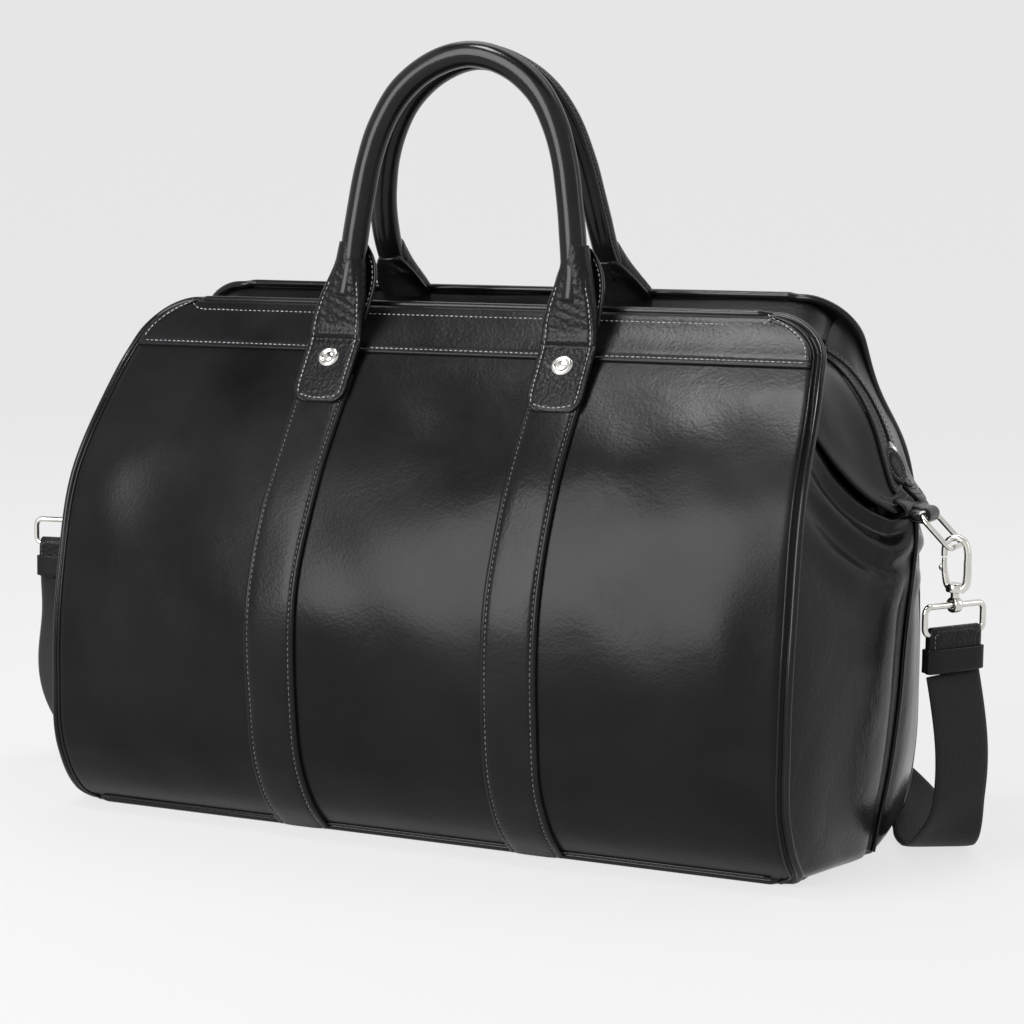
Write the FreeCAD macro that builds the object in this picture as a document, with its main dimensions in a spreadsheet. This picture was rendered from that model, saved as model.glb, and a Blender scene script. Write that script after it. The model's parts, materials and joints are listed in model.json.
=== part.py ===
"""Frame-opening doctor bag: millimetres, +Z up, origin on the floor under the middle of the bag.

+X runs along the bag to its right end and -Y is its front. The mouth is held by two U-shaped
steel stays that turn about one axis through both ears, so all that is sewn to the front stay
belongs to the front frame and all that is sewn to the back stay to the back frame.
The front and back are alike: each back piece is the front piece turned half round about Z.
"""
import FreeCAD, Part, Sketcher
import math
import os
from FreeCAD import Placement, Rotation, Vector

OUT_DIR = "parts"
X_AXIS = Vector(1, 0, 0)
Y_AXIS = Vector(0, 1, 0)
Z_AXIS = Vector(0, 0, 1)

# ---- driving dimensions -------------------------------------------------------------------
# Angles are in degrees from the horizontal, measured at the centre of the arc they trim.
SIZES = {
    "leather": 2,
    "piping_dia": 4,
    "lower_length": 438,
    "upper_length": 424,
    "belly_depth": 124.5,
    "belly_height": 95,
    "low_radius": 188,
    "side_radius": 233,
    "slope_radius": 325,
    "low_angle": 26.2,
    "split_angle": 27.76,
    "shoulder_angle": 27.06,
    "lap_angle": 27.25,
    "chape_low_angle": 33.8,
    "yoke_low_angle": 39.8,
    "top_angle": 46.8,
    "lining_angle": 24.1,
    "base_width": 180,
    "base_thick": 3,
    "board_thick": 2.5,
    "board_margin": 10,
    "lap_inset": 3,
    "strap_width": 31.6,
    "strap_thick": 3,
    "strap_centre": 71.2,
    "chape_width": 34,
    "chape_thick": 4,
    "rivet_head": 6.5,
    "rivet_rise": 2.4,
    "rivet_angle": 38.7,
    "hinge_height": 212,
    "facing_inner_y": 7.5,
    "facing_inner_z": 274.4,
    "zip_height": 269.3,
    "zip_length": 384,
    "tape_length": 392,
    "tape_width": 11,
    "tape_thick": 1,
    "tooth_gap": 0.7,
    "tooth_width": 2,
    "tooth_thick": 2.4,
    "slider_length": 14,
    "slider_half_width": 5.5,
    "slider_start": 184,
    "pull_length": 30,
    "pull_width": 8,
    "stay_reach": 234.5,
    "stay_pitch": 3,
    "stay_top": 73,
    "stay_width": 10,
    "stay_thick": 2.5,
    "stay_corner": 26,
    "stay_lean": 20.8,
    "pivot_pin": 2.5,
    "pivot_play": 0.06,
    "eye_radius": 6,
    "gusset_edge_x": 219.3,
    "gusset_thick": 2.2,
    "ear_width": 12,
    "ear_middle_y": 13,
    "ear_wall_y": 16,
    "tab_half_width": 22,
    "handle_dia": 14.6,
    "handle_bore": 9.6,
    "core_dia": 9.4,
    "handle_arch": 58,
    "handle_foot_s": 37,
    "front_foot_x": 68.9,
    "back_foot_x": 67.5,
    "front_leg_angle": 9.5,
    "back_leg_angle": 10.6,
    "front_apex_s": 155.6,
    "back_apex_s": 140.3,
    "flare_half_width": 17,
    "flare_half_thick": 3.5,
    "ring_bar": 3,
    "ring_half_width": 13.5,
    "ring_length": 23,
    "ring_corner": 5,
    "loop_x": 256,
    "loop_z": 187,
    "loop_bore": 2.4,
    "loop_outer": 4.6,
    "loop_half_width": 9.5,
    "hook_width": 16,
    "hook_thick": 5,
    "hook_bar": 3.5,
    "hook_low": 6.6,
    "hook_high": 37.5,
    "hook_seat": 31,
    "swivel_bore": 2.1,
    "swivel_outer": 4.4,
    "strap_ring_bar": 3.4,
    "strap_ring_half_width": 21.3,
    "strap_ring_height": 15,
    "strap_ring_corner": 4,
    "webbing_width": 38,
    "webbing_thick": 2.6,
    "strap_end_thick": 6,
    "strap_end_rise": 5,
    "strap_end_fall": 21,
    "keeper_height": 12.5,
    "adjuster_length": 24,
}

# Where each handle's plane starts, how far it leans back, and where its flares leave their
# chapes in that plane. The front handle stands up from a fold; the back one carries on along
# the slope of its panel, over the top edge, and only then turns up.
HANDLE_SEATS = {
    "front": {"y": -53, "z": 274, "lean": 3.8, "flare_y": 0, "flare_s": 1.5},
    "back": {"y": 7.7, "z": 290.8, "lean": -12, "flare_y": 43, "flare_s": -23},
}

# What differs between the two ends of the shoulder strap: how steeply the oval ring hangs,
# how far the snap hook leans towards the bag, and which way the strap's width faces.
ENDS = {
    "right": {"sign": 1, "ring_slope": 45, "hook_lean": 0, "strap_turn": 60},
    "left": {"sign": -1, "ring_slope": 20, "hook_lean": 26, "strap_turn": 10},
}

# The webbing's middle line from its right end to its left end, and the way its width faces.
WEBBING_ROUTE = [
    (272.3, 0, 103.7),
    (274, -1, 79),
    (276, -2, 51),
    (273, 3, 24),
    (262, 19, 6),
    (250, 43, 1.7),
    (243, 74, 4.2),
    (235, 107, 11),
    (215, 138, 18.2),
    (180, 158, 20),
    (130, 166, 20),
    (75, 164, 20),
    (20, 156, 20.8),
    (-35, 153, 21.6),
    (-90, 158, 20.8),
    (-145, 166, 20),
    (-195, 162, 20),
    (-236, 142, 18.2),
    (-262, 110, 11),
    (-277, 76, 4.2),
    (-287, 46, 1.7),
    (-297, 21, 8),
    (-302, 6, 28),
    (-302, 0, 57),
    (-297, 0, 88),
    (-291.2, 0, 115),
]
# The adjuster sits round the webbing at this point of the route.
ADJUSTER_AT = 13
# Degrees that the webbing's width is turned up from the floor at each point of the route.
WEBBING_ROLL = [0] * 6 + [8, 30, 65] + [90] * 8 + [65, 30, 8] + [0] * 6

doc = FreeCAD.newDocument("doctor_bag")
sheet = doc.addObject("Spreadsheet::Sheet", "sizes")
for row, (alias, number) in enumerate(SIZES.items(), start=1):
    sheet.set(f"A{row}", alias)
    sheet.set(f"B{row}", str(number))
    sheet.setAlias(f"B{row}", alias)
doc.recompute()

sub_parts = {}


def size(expression):
    """The number that an expression over the sheet's aliases comes to."""
    answer = sheet.evalExpression(named(expression))
    return float(getattr(answer, "Value", answer))


def named(expression):
    """An expression in which every alias is written the way setExpression wants it."""
    words, text = [], str(expression)
    token = ""
    for letter in text + " ":
        if letter.isalnum() or letter in "_.":
            token += letter
            continue
        words.append(f"sizes.{token}" if token in SIZES else token)
        words.append(letter)
        token = ""
    return "".join(words).strip()


def keep(thing, label):
    """Makes an object one of the bag's sub-parts, under the name that its file takes."""
    thing.Label = label
    sub_parts[label] = thing
    return thing


# ---- sketches and bodies ------------------------------------------------------------------
def plane_of(body, role):
    return [f for f in body.Origin.OriginFeatures if f.Role == role][0]


def new_sketch(body, role, lift=None):
    """A sketch on one of its own body's origin planes, raised by lift where that is given."""
    sketch = body.newObject("Sketcher::SketchObject", "outline")
    sketch.AttachmentSupport = (plane_of(body, role), [""])
    sketch.MapMode = "FlatFace"
    if lift is not None:
        sketch.setExpression(".AttachmentOffset.Base.z", named(lift))
        doc.recompute()
    return sketch


def bind(sketch, constraint, expression):
    number = sketch.addConstraint(constraint)
    sketch.setExpression(f"Constraints[{number}]", named(expression))


def arc_between(start, end, radius, side):
    """The short arc of a radius from start to end, bulging to the left (1) or right (-1)."""
    chord = end - start
    middle = (start + end) * 0.5
    left = Vector(-chord.y, chord.x, 0).normalize()
    sagitta = radius - math.sqrt(radius**2 - (chord.Length / 2) ** 2)
    return Part.Arc(start, middle + left * side * sagitta, end)


def draw(sketch, points, arcs=None, closed=True):
    """Draws an outline whose corners and radii are all expressions over the sheet.

    arcs gives, for the edge that leaves a corner, its radius and the side it bulges to.
    """
    arcs = arcs or {}
    corners = [Vector(size(u), size(v), 0) for u, v in points]
    count = len(points) if closed else len(points) - 1
    ends = []
    for index in range(count):
        start = corners[index]
        end = corners[(index + 1) % len(points)]
        if index in arcs:
            radius, side = arcs[index]
            number = sketch.addGeometry(arc_between(start, end, size(radius), side))
            first = (sketch.getPoint(number, 1) - start).Length < 1e-6
            ends.append((number, 1 if first else 2, 2 if first else 1))
            bind(sketch, Sketcher.Constraint("Radius", number, size(radius)), radius)
        else:
            number = sketch.addGeometry(Part.LineSegment(start, end))
            ends.append((number, 1, 2))
    for index, (number, head, tail) in enumerate(ends):
        if closed or index + 1 < count:
            after, after_head, _ = ends[(index + 1) % count]
            sketch.addConstraint(
                Sketcher.Constraint("Coincident", number, tail, after, after_head)
            )
    for index, (u, v) in enumerate(points):
        last = not closed and index == count
        number, head, tail = ends[-1] if last else ends[index]
        spot = tail if last else head
        here = corners[index]
        for way, value, expression in (("X", here.x, u), ("Y", here.y, v)):
            bind(
                sketch,
                Sketcher.Constraint(f"Distance{way}", -1, 1, number, spot, value),
                expression,
            )


def draw_circle(sketch, centre, radius):
    middle = Vector(size(centre[0]), size(centre[1]), 0)
    number = sketch.addGeometry(Part.Circle(middle, Z_AXIS, size(radius)))
    bind(sketch, Sketcher.Constraint("Radius", number, size(radius)), radius)
    for way, value, expression in (
        ("X", middle.x, centre[0]),
        ("Y", middle.y, centre[1]),
    ):
        bind(
            sketch,
            Sketcher.Constraint(f"Distance{way}", -1, 1, number, 3, value),
            expression,
        )


def new_body(name, placement=None):
    body = doc.addObject("PartDesign::Body", name)
    if placement is not None:
        body.Placement = placement
    return body


def padded(name, role, points, length, arcs=None, placement=None):
    """A prism of an outline, half its length to each side of the origin plane."""
    body = new_body(name, placement)
    sketch = new_sketch(body, role)
    draw(sketch, points, arcs)
    pad = body.newObject("PartDesign::Pad", "Pad")
    pad.Profile = sketch
    pad.SideType = "Symmetric"
    pad.setExpression("Length", named(length))
    doc.recompute()
    return body


def disc(name, radius, bore, length, placement=None):
    """A plate standing across X, round with a round hole, centred on the origin."""
    body = new_body(name, placement)
    sketch = new_sketch(body, "YZ_Plane")
    draw_circle(sketch, ("0", "0"), radius)
    if bore:
        draw_circle(sketch, ("0", "0"), bore)
    pad = body.newObject("PartDesign::Pad", "Pad")
    pad.Profile = sketch
    pad.SideType = "Symmetric"
    pad.setExpression("Length", named(length))
    doc.recompute()
    return body


def box(name, x_size, y_size, z_size, corner):
    """A block whose low corner is given as three expressions."""
    block = doc.addObject("Part::Box", name)
    block.setExpression("Length", named(x_size))
    block.setExpression("Width", named(y_size))
    block.setExpression("Height", named(z_size))
    for letter, place in zip("xyz", corner):
        block.setExpression(f".Placement.Base.{letter}", named(place))
    return block


def fused(name, *pieces):
    whole = doc.addObject("Part::MultiFuse", name)
    whole.Shapes = list(pieces)
    doc.recompute()
    return whole


def cut(name, base, tool):
    rest = doc.addObject("Part::Cut", name)
    rest.Base = base
    rest.Tool = tool
    doc.recompute()
    return rest


def mirrored(name, piece):
    """The same piece on the other side of the bag's middle plane X = 0."""
    copy = doc.addObject("Part::Mirroring", name)
    copy.Source = piece
    copy.Normal = X_AXIS
    copy.Base = Vector(0, 0, 0)
    return copy


def group(name, *pieces):
    """Separate alike solids in one node."""
    together = doc.addObject("Part::Compound", name)
    together.Links = list(pieces)
    doc.recompute()
    return together


def pair(name, piece):
    return group(name, piece, mirrored(f"{name}_mirror", piece))


def half_turn(side):
    """Where a piece of the front goes to become the same piece of the back."""
    return Placement(Vector(), Rotation(Z_AXIS, 0 if side == "front" else 180))


# ---- the curved side of the bag -----------------------------------------------------------
# Seen from the end, the leather follows three arcs that run smoothly into each other: a low
# one that tucks under, one from the belly to the shoulder, and a flatter one to the top edge.
# A place on the side is an arc's name, an angle at its centre, and a depth under the surface.
def arc_radius(arc, depth):
    radius = {"low": "low_radius", "side": "side_radius", "slope": "slope_radius"}[arc]
    return f"({radius} - ({depth}))"


def on_side(arc, angle, depth):
    """(y, z) as expressions, for the side that faces -Y."""
    run = f"{arc_radius(arc, depth)} * cos({angle})"
    rise = f"{arc_radius(arc, depth)} * sin({angle})"
    if arc == "low":
        return f"-(belly_depth - low_radius + {run})", f"belly_height - {rise}"
    if arc == "side":
        return f"-(belly_depth - side_radius + {run})", f"belly_height + {rise}"
    shift = "(side_radius - slope_radius)"
    y = f"-(belly_depth - side_radius + {shift} * cos(shoulder_angle) + {run})"
    z = f"belly_height + {shift} * sin(shoulder_angle) + {rise}"
    return y, z


def strip_outline(stops, outer, inner):
    """The outline of a sheet that follows the side: stops are (arc, angle) up the side.

    Two stops in a row on one arc are joined by that arc; a stop is repeated under the name
    of the next arc where the side passes from one arc to the next.
    """
    up = [on_side(arc, f"({angle}) * 1 deg", outer) for arc, angle in stops]
    down = [on_side(arc, f"({angle}) * 1 deg", inner) for arc, angle in reversed(stops)]
    arcs = {}
    for index in range(len(stops) - 1):
        later = stops[index + 1][0]
        arcs[index] = (arc_radius(later, outer), 1)
        back = len(stops) + len(stops) - 2 - index
        arcs[back] = (arc_radius(later, inner), -1)
    return up + down, arcs


def side_sheet(name, side, stops, outer, inner, length):
    points, arcs = strip_outline(stops, outer, inner)
    return padded(name, "YZ_Plane", points, length, arcs, half_turn(side))


def depth_at(height, depth):
    """How far from the middle plane the side stands at a height, at a depth under it."""
    arc = "low" if height < size("belly_height") else "side"
    radius = size(arc_radius(arc, depth))
    rise = height - size("belly_height")
    centre = size("belly_depth") - size(f"{arc}_radius")
    return centre + math.sqrt(radius**2 - rise**2)


LOWER_STOPS = [("low", "low_angle"), ("low", "0"), ("side", "split_angle")]


def make_panels(side):
    """The soft side in two sheets: a lower one on the body of the bag, and an upper one on
    the frame, whose low edge laps inside the lower one and clears it as the mouth opens."""
    low = side_sheet(
        f"{side}_low_sheet", side, LOWER_STOPS, "0", "leather", "lower_length"
    )
    tuck_y, tuck_z = on_side("low", "low_angle * 1 deg", "0")
    inner_y, inner_z = on_side("low", "low_angle * 1 deg", "leather")
    tuck = padded(
        f"{side}_tuck",
        "YZ_Plane",
        [
            (tuck_y, tuck_z),
            ("-base_width/2", "0"),
            ("-base_width/2", "leather*1.3"),
            (inner_y, inner_z),
        ],
        "lower_length",
        placement=half_turn(side),
    )
    keep(fused(f"{side}_lower", low, tuck), f"{side}_panel_lower")
    upper = side_sheet(
        f"{side}_upper",
        side,
        [("slope", "lap_angle"), ("slope", "top_angle")],
        "lap_inset",
        "lap_inset + leather",
        "upper_length",
    )
    keep(upper, f"{side}_panel_upper")
    yoke = side_sheet(
        f"{side}_band",
        side,
        [("slope", "yoke_low_angle"), ("slope", "top_angle")],
        "0",
        "lap_inset",
        "upper_length",
    )
    keep(yoke, f"{side}_yoke")


def make_straps(side):
    """Two upright straps on the lower panel, each ending under the chape above it."""
    strap = side_sheet(
        f"{side}_strap", side, LOWER_STOPS, "-strap_thick", "0", "strap_width"
    )
    strap.setExpression(".Placement.Base.x", named("strap_centre"))
    keep(pair(f"{side}_strap_pair", strap), f"{side}_straps")


def make_chapes(side):
    """The flat stitched and riveted lower ends of the handle leather, and their rivets."""
    chape = side_sheet(
        f"{side}_chape",
        side,
        [("slope", "chape_low_angle"), ("slope", "yoke_low_angle - 0.2")],
        "-chape_thick",
        "lap_inset",
        "chape_width",
    )
    chape.setExpression(".Placement.Base.x", named("strap_centre"))
    keep(pair(f"{side}_chape_pair", chape), f"{side}_chapes")

    rivet = new_body(f"{side}_rivet")
    sketch = new_sketch(rivet, "XZ_Plane")
    draw(
        sketch,
        [
            ("0", "0"),
            ("rivet_head", "0"),
            ("rivet_head", "rivet_rise/3"),
            ("rivet_head*0.6", "rivet_rise"),
            ("0", "rivet_rise"),
        ],
    )
    turned = rivet.newObject("PartDesign::Revolution", "Revolution")
    turned.Profile = sketch
    turned.ReferenceAxis = (sketch, ["V_Axis"])
    turned.Angle = 360
    y, z = on_side("slope", "rivet_angle * 1 deg", "-chape_thick")
    facing_out = Rotation(X_AXIS, 90 - size("rivet_angle"))
    seat = Placement(Vector(size("strap_centre"), size(y), size(z)), facing_out)
    rivet.Placement = half_turn(side).multiply(seat)
    doc.recompute()
    keep(pair(f"{side}_rivet_pair", rivet), f"{side}_rivets")


# ---- piping -------------------------------------------------------------------------------
def side_piping(name, side, stops):
    """A round cord along the end edge of a side sheet, just outside it."""
    body = new_body(name)
    path = new_sketch(body, "YZ_Plane")
    points = [on_side(arc, f"({angle}) * 1 deg", "0") for arc, angle in stops]
    arcs = {i: (arc_radius(stops[i + 1][0], "0"), 1) for i in range(len(stops) - 1)}
    draw(path, points, arcs, closed=False)
    profile = new_sketch(body, "XY_Plane", points[0][1])
    draw_circle(profile, ("0", points[0][0]), "piping_dia/2")
    pipe = body.newObject("PartDesign::AdditivePipe", "Pipe")
    pipe.Profile = profile
    pipe.Spine = (path, [f"Edge{n + 1}" for n in range(len(stops) - 1)])
    return body


def make_piping(side):
    lower_end = side_piping(f"{side}_low_cord", side, LOWER_STOPS)
    upper_end = side_piping(
        f"{side}_top_cord",
        side,
        [("slope", "lap_angle + 1.2"), ("slope", "top_angle")],
    )
    for cord, half in ((lower_end, "lower_length"), (upper_end, "upper_length")):
        reach = size(f"{half}/2 + piping_dia/2 + 0.2")
        cord.Placement = half_turn(side).multiply(
            Placement(Vector(reach, 0, 0), Rotation())
        )
    foot = doc.addObject("Part::Cylinder", f"{side}_foot_cord")
    foot.setExpression("Radius", named("piping_dia/2"))
    foot.setExpression("Height", named("lower_length"))
    sign = -1 if side == "front" else 1
    foot.Placement = Placement(
        Vector(-size("lower_length/2"), sign * size("base_width/2 + 6"), 0),
        Rotation(Y_AXIS, 90),
    )
    foot.setExpression(".Placement.Base.z", named("piping_dia/2"))
    mirror = mirrored(f"{side}_low_cord_left", lower_end)
    keep(group(f"{side}_low_cords", lower_end, mirror, foot), f"{side}_piping_lower")
    keep(pair(f"{side}_top_cords", upper_end), f"{side}_piping_upper")


# ---- base, gussets, lining ----------------------------------------------------------------
def make_base():
    base = box(
        "base_sheet",
        "lower_length",
        "base_width",
        "base_thick",
        ("-lower_length/2", "-base_width/2", "0"),
    )
    keep(base, "base_panel")
    board = box(
        "stiffener",
        "lower_length - 2*board_margin",
        "base_width - 2*board_margin",
        "board_thick",
        (
            "-lower_length/2 + board_margin",
            "-base_width/2 + board_margin",
            "base_thick",
        ),
    )
    keep(board, "base_board")


GUSSET_STATIONS = [(3.2, 231), (60, 241), (120, 245.5), (187.4, 249.8)]


def make_gussets():
    """Each end wall bulges out between the panels, most of all under the ear."""
    body = new_body("gusset_wall")
    sections = []
    for height, reach in GUSSET_STATIONS:
        width = round(depth_at(height, 2.4), 2)
        sketch = new_sketch(body, "XY_Plane", height)
        bulge = f"({reach} - gusset_edge_x)"
        radius = f"({width}^2 + {bulge}^2) / (2*{bulge})"
        inner_bulge = f"({bulge} - gusset_thick)"
        inner_width = f"({width} - 3)"
        inner_radius = f"({inner_width}^2 + {inner_bulge}^2) / (2*{inner_bulge})"
        draw(
            sketch,
            [
                ("gusset_edge_x", f"-{width}"),
                ("gusset_edge_x", f"{width}"),
                ("gusset_edge_x", inner_width),
                ("gusset_edge_x", f"-{inner_width}"),
            ],
            {0: (radius, -1), 2: (inner_radius, 1)},
        )
        sections.append(sketch)
    loft = body.newObject("PartDesign::AdditiveLoft", "Loft")
    loft.Profile = sections[0]
    loft.Sections = sections[1:]
    loft.Ruled = True
    doc.recompute()
    keep(body, "gusset_right")
    keep(mirrored("gusset_mirror", body), "gusset_left")


def make_lining():
    """A loose textile tray inside the lower panels."""
    stops = [("low", "low_angle - 0.8"), ("low", "0"), ("side", "lining_angle")]
    outer, inner = "leather + 0.6", "leather + 1.4"
    walls = [
        side_sheet(
            f"{side}_lining", side, stops, outer, inner, "lower_length - 8"
        )
        for side in ("front", "back")
    ]
    y, z = on_side("low", "(low_angle - 0.8) * 1 deg", inner)
    outer_y, outer_z = on_side("low", "(low_angle - 0.8) * 1 deg", outer)
    floor = padded(
        "lining_floor",
        "YZ_Plane",
        [
            (outer_y, outer_z),
            ("-base_width/2 + 6", "base_thick + board_thick + 0.3"),
            ("base_width/2 - 6", "base_thick + board_thick + 0.3"),
            (f"-({outer_y})", outer_z),
            (f"-({y})", z),
            ("base_width/2 - 6.4", "base_thick + board_thick + 1.1"),
            ("-base_width/2 + 6.4", "base_thick + board_thick + 1.1"),
            (y, z),
        ],
        "lower_length - 8",
    )
    keep(fused("lining_tray", floor, *walls), "lining")


# ---- ears, facings and zip ----------------------------------------------------------------
EAR_TOP = (196, 272.6)
EAR_MIDDLE = (223, 251)
EAR_TIP = (237, 216)


def make_ears(side):
    """The zip gusset at each end: a sheet across the end and a ribbon down beside the zip."""
    inner_y, inner_z = on_side("slope", "41.6 * 1 deg", "lap_inset + leather + 0.3")
    low_y, low_z = on_side("slope", "29.6 * 1 deg", "lap_inset + leather + 0.3")
    sheet_wall = padded(
        f"{side}_ear_wall",
        "YZ_Plane",
        [
            ("-ear_wall_y", low_z),
            ("-ear_wall_y", inner_z),
            (inner_y, inner_z),
            (low_y, low_z),
        ],
        "leather",
    )
    sheet_wall.setExpression(
        ".Placement.Base.x", named("upper_length/2 + leather/2 + 0.1")
    )
    top = Vector(EAR_TOP[0], 0, EAR_TOP[1])
    middle = Vector(EAR_MIDDLE[0], 0, EAR_MIDDLE[1])
    tip = Vector(EAR_TIP[0], 0, EAR_TIP[1])
    circle = Part.Circle(top, middle, tip)
    bend = circle.Radius
    thick = size("leather")
    inner_ends = [
        circle.Center + (end - circle.Center) * ((bend - thick) / bend)
        for end in (top, tip)
    ]
    ribbon = padded(
        f"{side}_ear_ribbon",
        "XZ_Plane",
        [
            (f"{EAR_TOP[0]}", f"{EAR_TOP[1]}"),
            (f"{EAR_TIP[0]}", f"{EAR_TIP[1]}"),
            (f"{inner_ends[1].x:.3f}", f"{inner_ends[1].z:.3f}"),
            (f"{inner_ends[0].x:.3f}", f"{inner_ends[0].z:.3f}"),
        ],
        "ear_width",
        {0: (f"{bend:.3f}", 1), 2: (f"({bend:.3f} - leather)", -1)},
    )
    ribbon.setExpression(".Placement.Base.y", named("-ear_middle_y"))
    ear = fused(f"{side}_ear_one", sheet_wall, ribbon)
    ear.Placement = half_turn(side)
    ends = ("right", "left") if side == "front" else ("left", "right")
    keep(ear, f"{side}_ear_{ends[0]}")
    keep(mirrored(f"{side}_ear_other", ear), f"{side}_ear_{ends[1]}")


def make_facing(side):
    """The strip that turns in from the top edge down to the zip."""
    edge_y, edge_z = on_side("slope", "top_angle * 1 deg", "lap_inset/2")
    facing = padded(
        f"{side}_strip",
        "YZ_Plane",
        [
            (f"{edge_y} + 2.6", edge_z),
            (f"{edge_y} + 2.6", f"{edge_z} - leather*1.2"),
            ("-facing_inner_y", "facing_inner_z - leather"),
            ("-facing_inner_y", "facing_inner_z"),
        ],
        "upper_length - 34",
        placement=half_turn(side),
    )
    keep(facing, f"{side}_facing")


def make_zip(side):
    """Half of the zip: a tape under the facing and a row of teeth on its inner edge."""
    sign = "-" if side == "front" else ""
    low = "-(tooth_gap + tooth_width + tape_width)" if sign else "tooth_gap + tooth_width"
    tape = box(
        f"{side}_tape",
        "tape_length",
        "tape_width",
        "tape_thick",
        ("-tape_length/2", low, "zip_height - tape_thick/2"),
    )
    keep(tape, f"{side}_zip_tape")
    low = "-(tooth_gap + tooth_width)" if sign else "tooth_gap"
    teeth = box(
        f"{side}_teeth",
        "zip_length",
        "tooth_width",
        "tooth_thick",
        ("-zip_length/2", low, "zip_height - tooth_thick/2"),
    )
    keep(teeth, f"{side}_zip_teeth")


def make_slider():
    """The slider straddles the closed teeth at their left end; its pull turns on a bar."""
    lower = box(
        "slider_under",
        "slider_length",
        "2*slider_half_width",
        "1.6",
        (
            "-slider_start - slider_length/2",
            "-slider_half_width",
            "zip_height - tooth_thick/2 - 1.9",
        ),
    )
    upper = box(
        "slider_over",
        "slider_length",
        "2*slider_half_width",
        "1.6",
        (
            "-slider_start - slider_length/2",
            "-slider_half_width",
            "zip_height + tooth_thick/2 + 0.3",
        ),
    )
    post = box(
        "slider_post",
        "slider_length*0.4",
        "0.8",
        "tooth_thick + 2",
        (
            "-slider_start - slider_length*0.2",
            "-0.4",
            "zip_height - tooth_thick/2 - 1",
        ),
    )
    cheeks = [
        box(
            f"slider_cheek_{index}",
            "5",
            "1.2",
            "4.6",
            (
                "-slider_start - 2.5",
                low,
                "zip_height + tooth_thick/2 + 1.5",
            ),
        )
        for index, low in enumerate(("-slider_half_width", "slider_half_width - 1.2"))
    ]
    bar = doc.addObject("Part::Cylinder", "slider_bar")
    bar.setExpression("Radius", "1.1")
    bar.setExpression("Height", named("2*slider_half_width - 2"))
    bar.Placement = Placement(Vector(), Rotation(X_AXIS, -90))
    bar.setExpression(".Placement.Base.x", named("-slider_start"))
    bar.setExpression(".Placement.Base.y", named("-slider_half_width + 1"))
    bar.setExpression(".Placement.Base.z", named("zip_height + tooth_thick/2 + 4.4"))
    keep(fused("slider_whole", lower, upper, post, bar, *cheeks), "zip_slider")

    eye = disc("pull_eye", "2.3", "1.35", "pull_width", None)
    eye.Placement = Placement(
        Vector(-size("slider_start"), 0, size("zip_height + tooth_thick/2 + 4.4")),
        Rotation(Z_AXIS, 90),
    )
    tab = box(
        "pull_tab",
        "pull_length",
        "pull_width",
        "1.6",
        (
            "-slider_start + 1.8",
            "-pull_width/2",
            "zip_height + tooth_thick/2 + 3.6",
        ),
    )
    keep(fused("pull_whole", eye, tab), "zip_pull")


# ---- frame stays and their pivots ---------------------------------------------------------
def make_stay(side):
    """A flat steel U whose feet turn on the pivots; drawn in its own leaning plane."""
    reach = "stay_reach" if side == "front" else "(stay_reach + stay_pitch)"
    straight = "(stay_reach - 56)"
    right = [
        (straight, "stay_top"),
        (f"{straight} + stay_corner", "stay_top - stay_corner"),
        (f"{reach} - 6", "15"),
        (reach, "9"),
        (reach, "3"),
        (f"{reach} - stay_thick", "3"),
        (f"{reach} - stay_thick", "8"),
        (f"{reach} - stay_width - 3", "14"),
        (f"{straight} + stay_corner - stay_width", "stay_top - stay_corner"),
        (straight, "stay_top - stay_width"),
    ]
    left = [(f"-({x})", s) for x, s in reversed(right)]
    outer, inner = "stay_corner", "(stay_corner - stay_width)"
    count = len(right)
    arcs = {
        0: (outer, 1),
        count - 2: (inner, -1),
        count: (inner, -1),
        2 * count - 2: (outer, 1),
    }
    bar = padded(f"{side}_stay_bar", "XZ_Plane", right + left, "stay_thick", arcs)
    feet = []
    for sign in (1, -1):
        foot = disc(
            f"{side}_stay_foot_{sign}",
            "eye_radius",
            "pivot_pin + pivot_play",
            "stay_thick",
        )
        foot.setExpression(
            ".Placement.Base.x", named(f"{sign} * ({reach} - stay_thick/2)")
        )
        feet.append(foot)
    whole = fused(f"{side}_stay_solid", bar, *feet)
    bore = doc.addObject("Part::Cylinder", f"{side}_stay_bore")
    bore.setExpression("Radius", named("pivot_pin + pivot_play"))
    bore.setExpression("Height", named("2*stay_reach + 40"))
    bore.Placement = Placement(
        Vector(-size("stay_reach + 20"), 0, 0), Rotation(Y_AXIS, 90)
    )
    stay = cut(f"{side}_stay_cut", whole, bore)
    lean = size("stay_lean") * (1 if side == "front" else -1)
    stay.Placement = Placement(
        Vector(0, 0, size("hinge_height")), Rotation(X_AXIS, lean)
    )
    keep(stay, f"{side}_stay")


def make_pivots():
    """A headed pin through both stays in each ear."""
    pin = new_body("pivot_rivet")
    sketch = new_sketch(pin, "XZ_Plane")
    low, high = "stay_reach - stay_thick - 0.4", "stay_reach + stay_pitch + 0.4"
    head = "pivot_pin + 1.8"
    draw(
        sketch,
        [
            (f"{low} - 1.5", "0"),
            (f"{low} - 1.5", head),
            (low, head),
            (low, "pivot_pin"),
            (high, "pivot_pin"),
            (high, head),
            (f"{high} + 1.5", head),
            (f"{high} + 1.5", "0"),
        ],
    )
    turned = pin.newObject("PartDesign::Revolution", "Revolution")
    turned.Profile = sketch
    turned.ReferenceAxis = (sketch, ["H_Axis"])
    turned.Angle = 360
    pin.setExpression(".Placement.Base.z", named("hinge_height"))
    doc.recompute()
    keep(pair("pivot_pair", pin), "frame_pivots")


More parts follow.
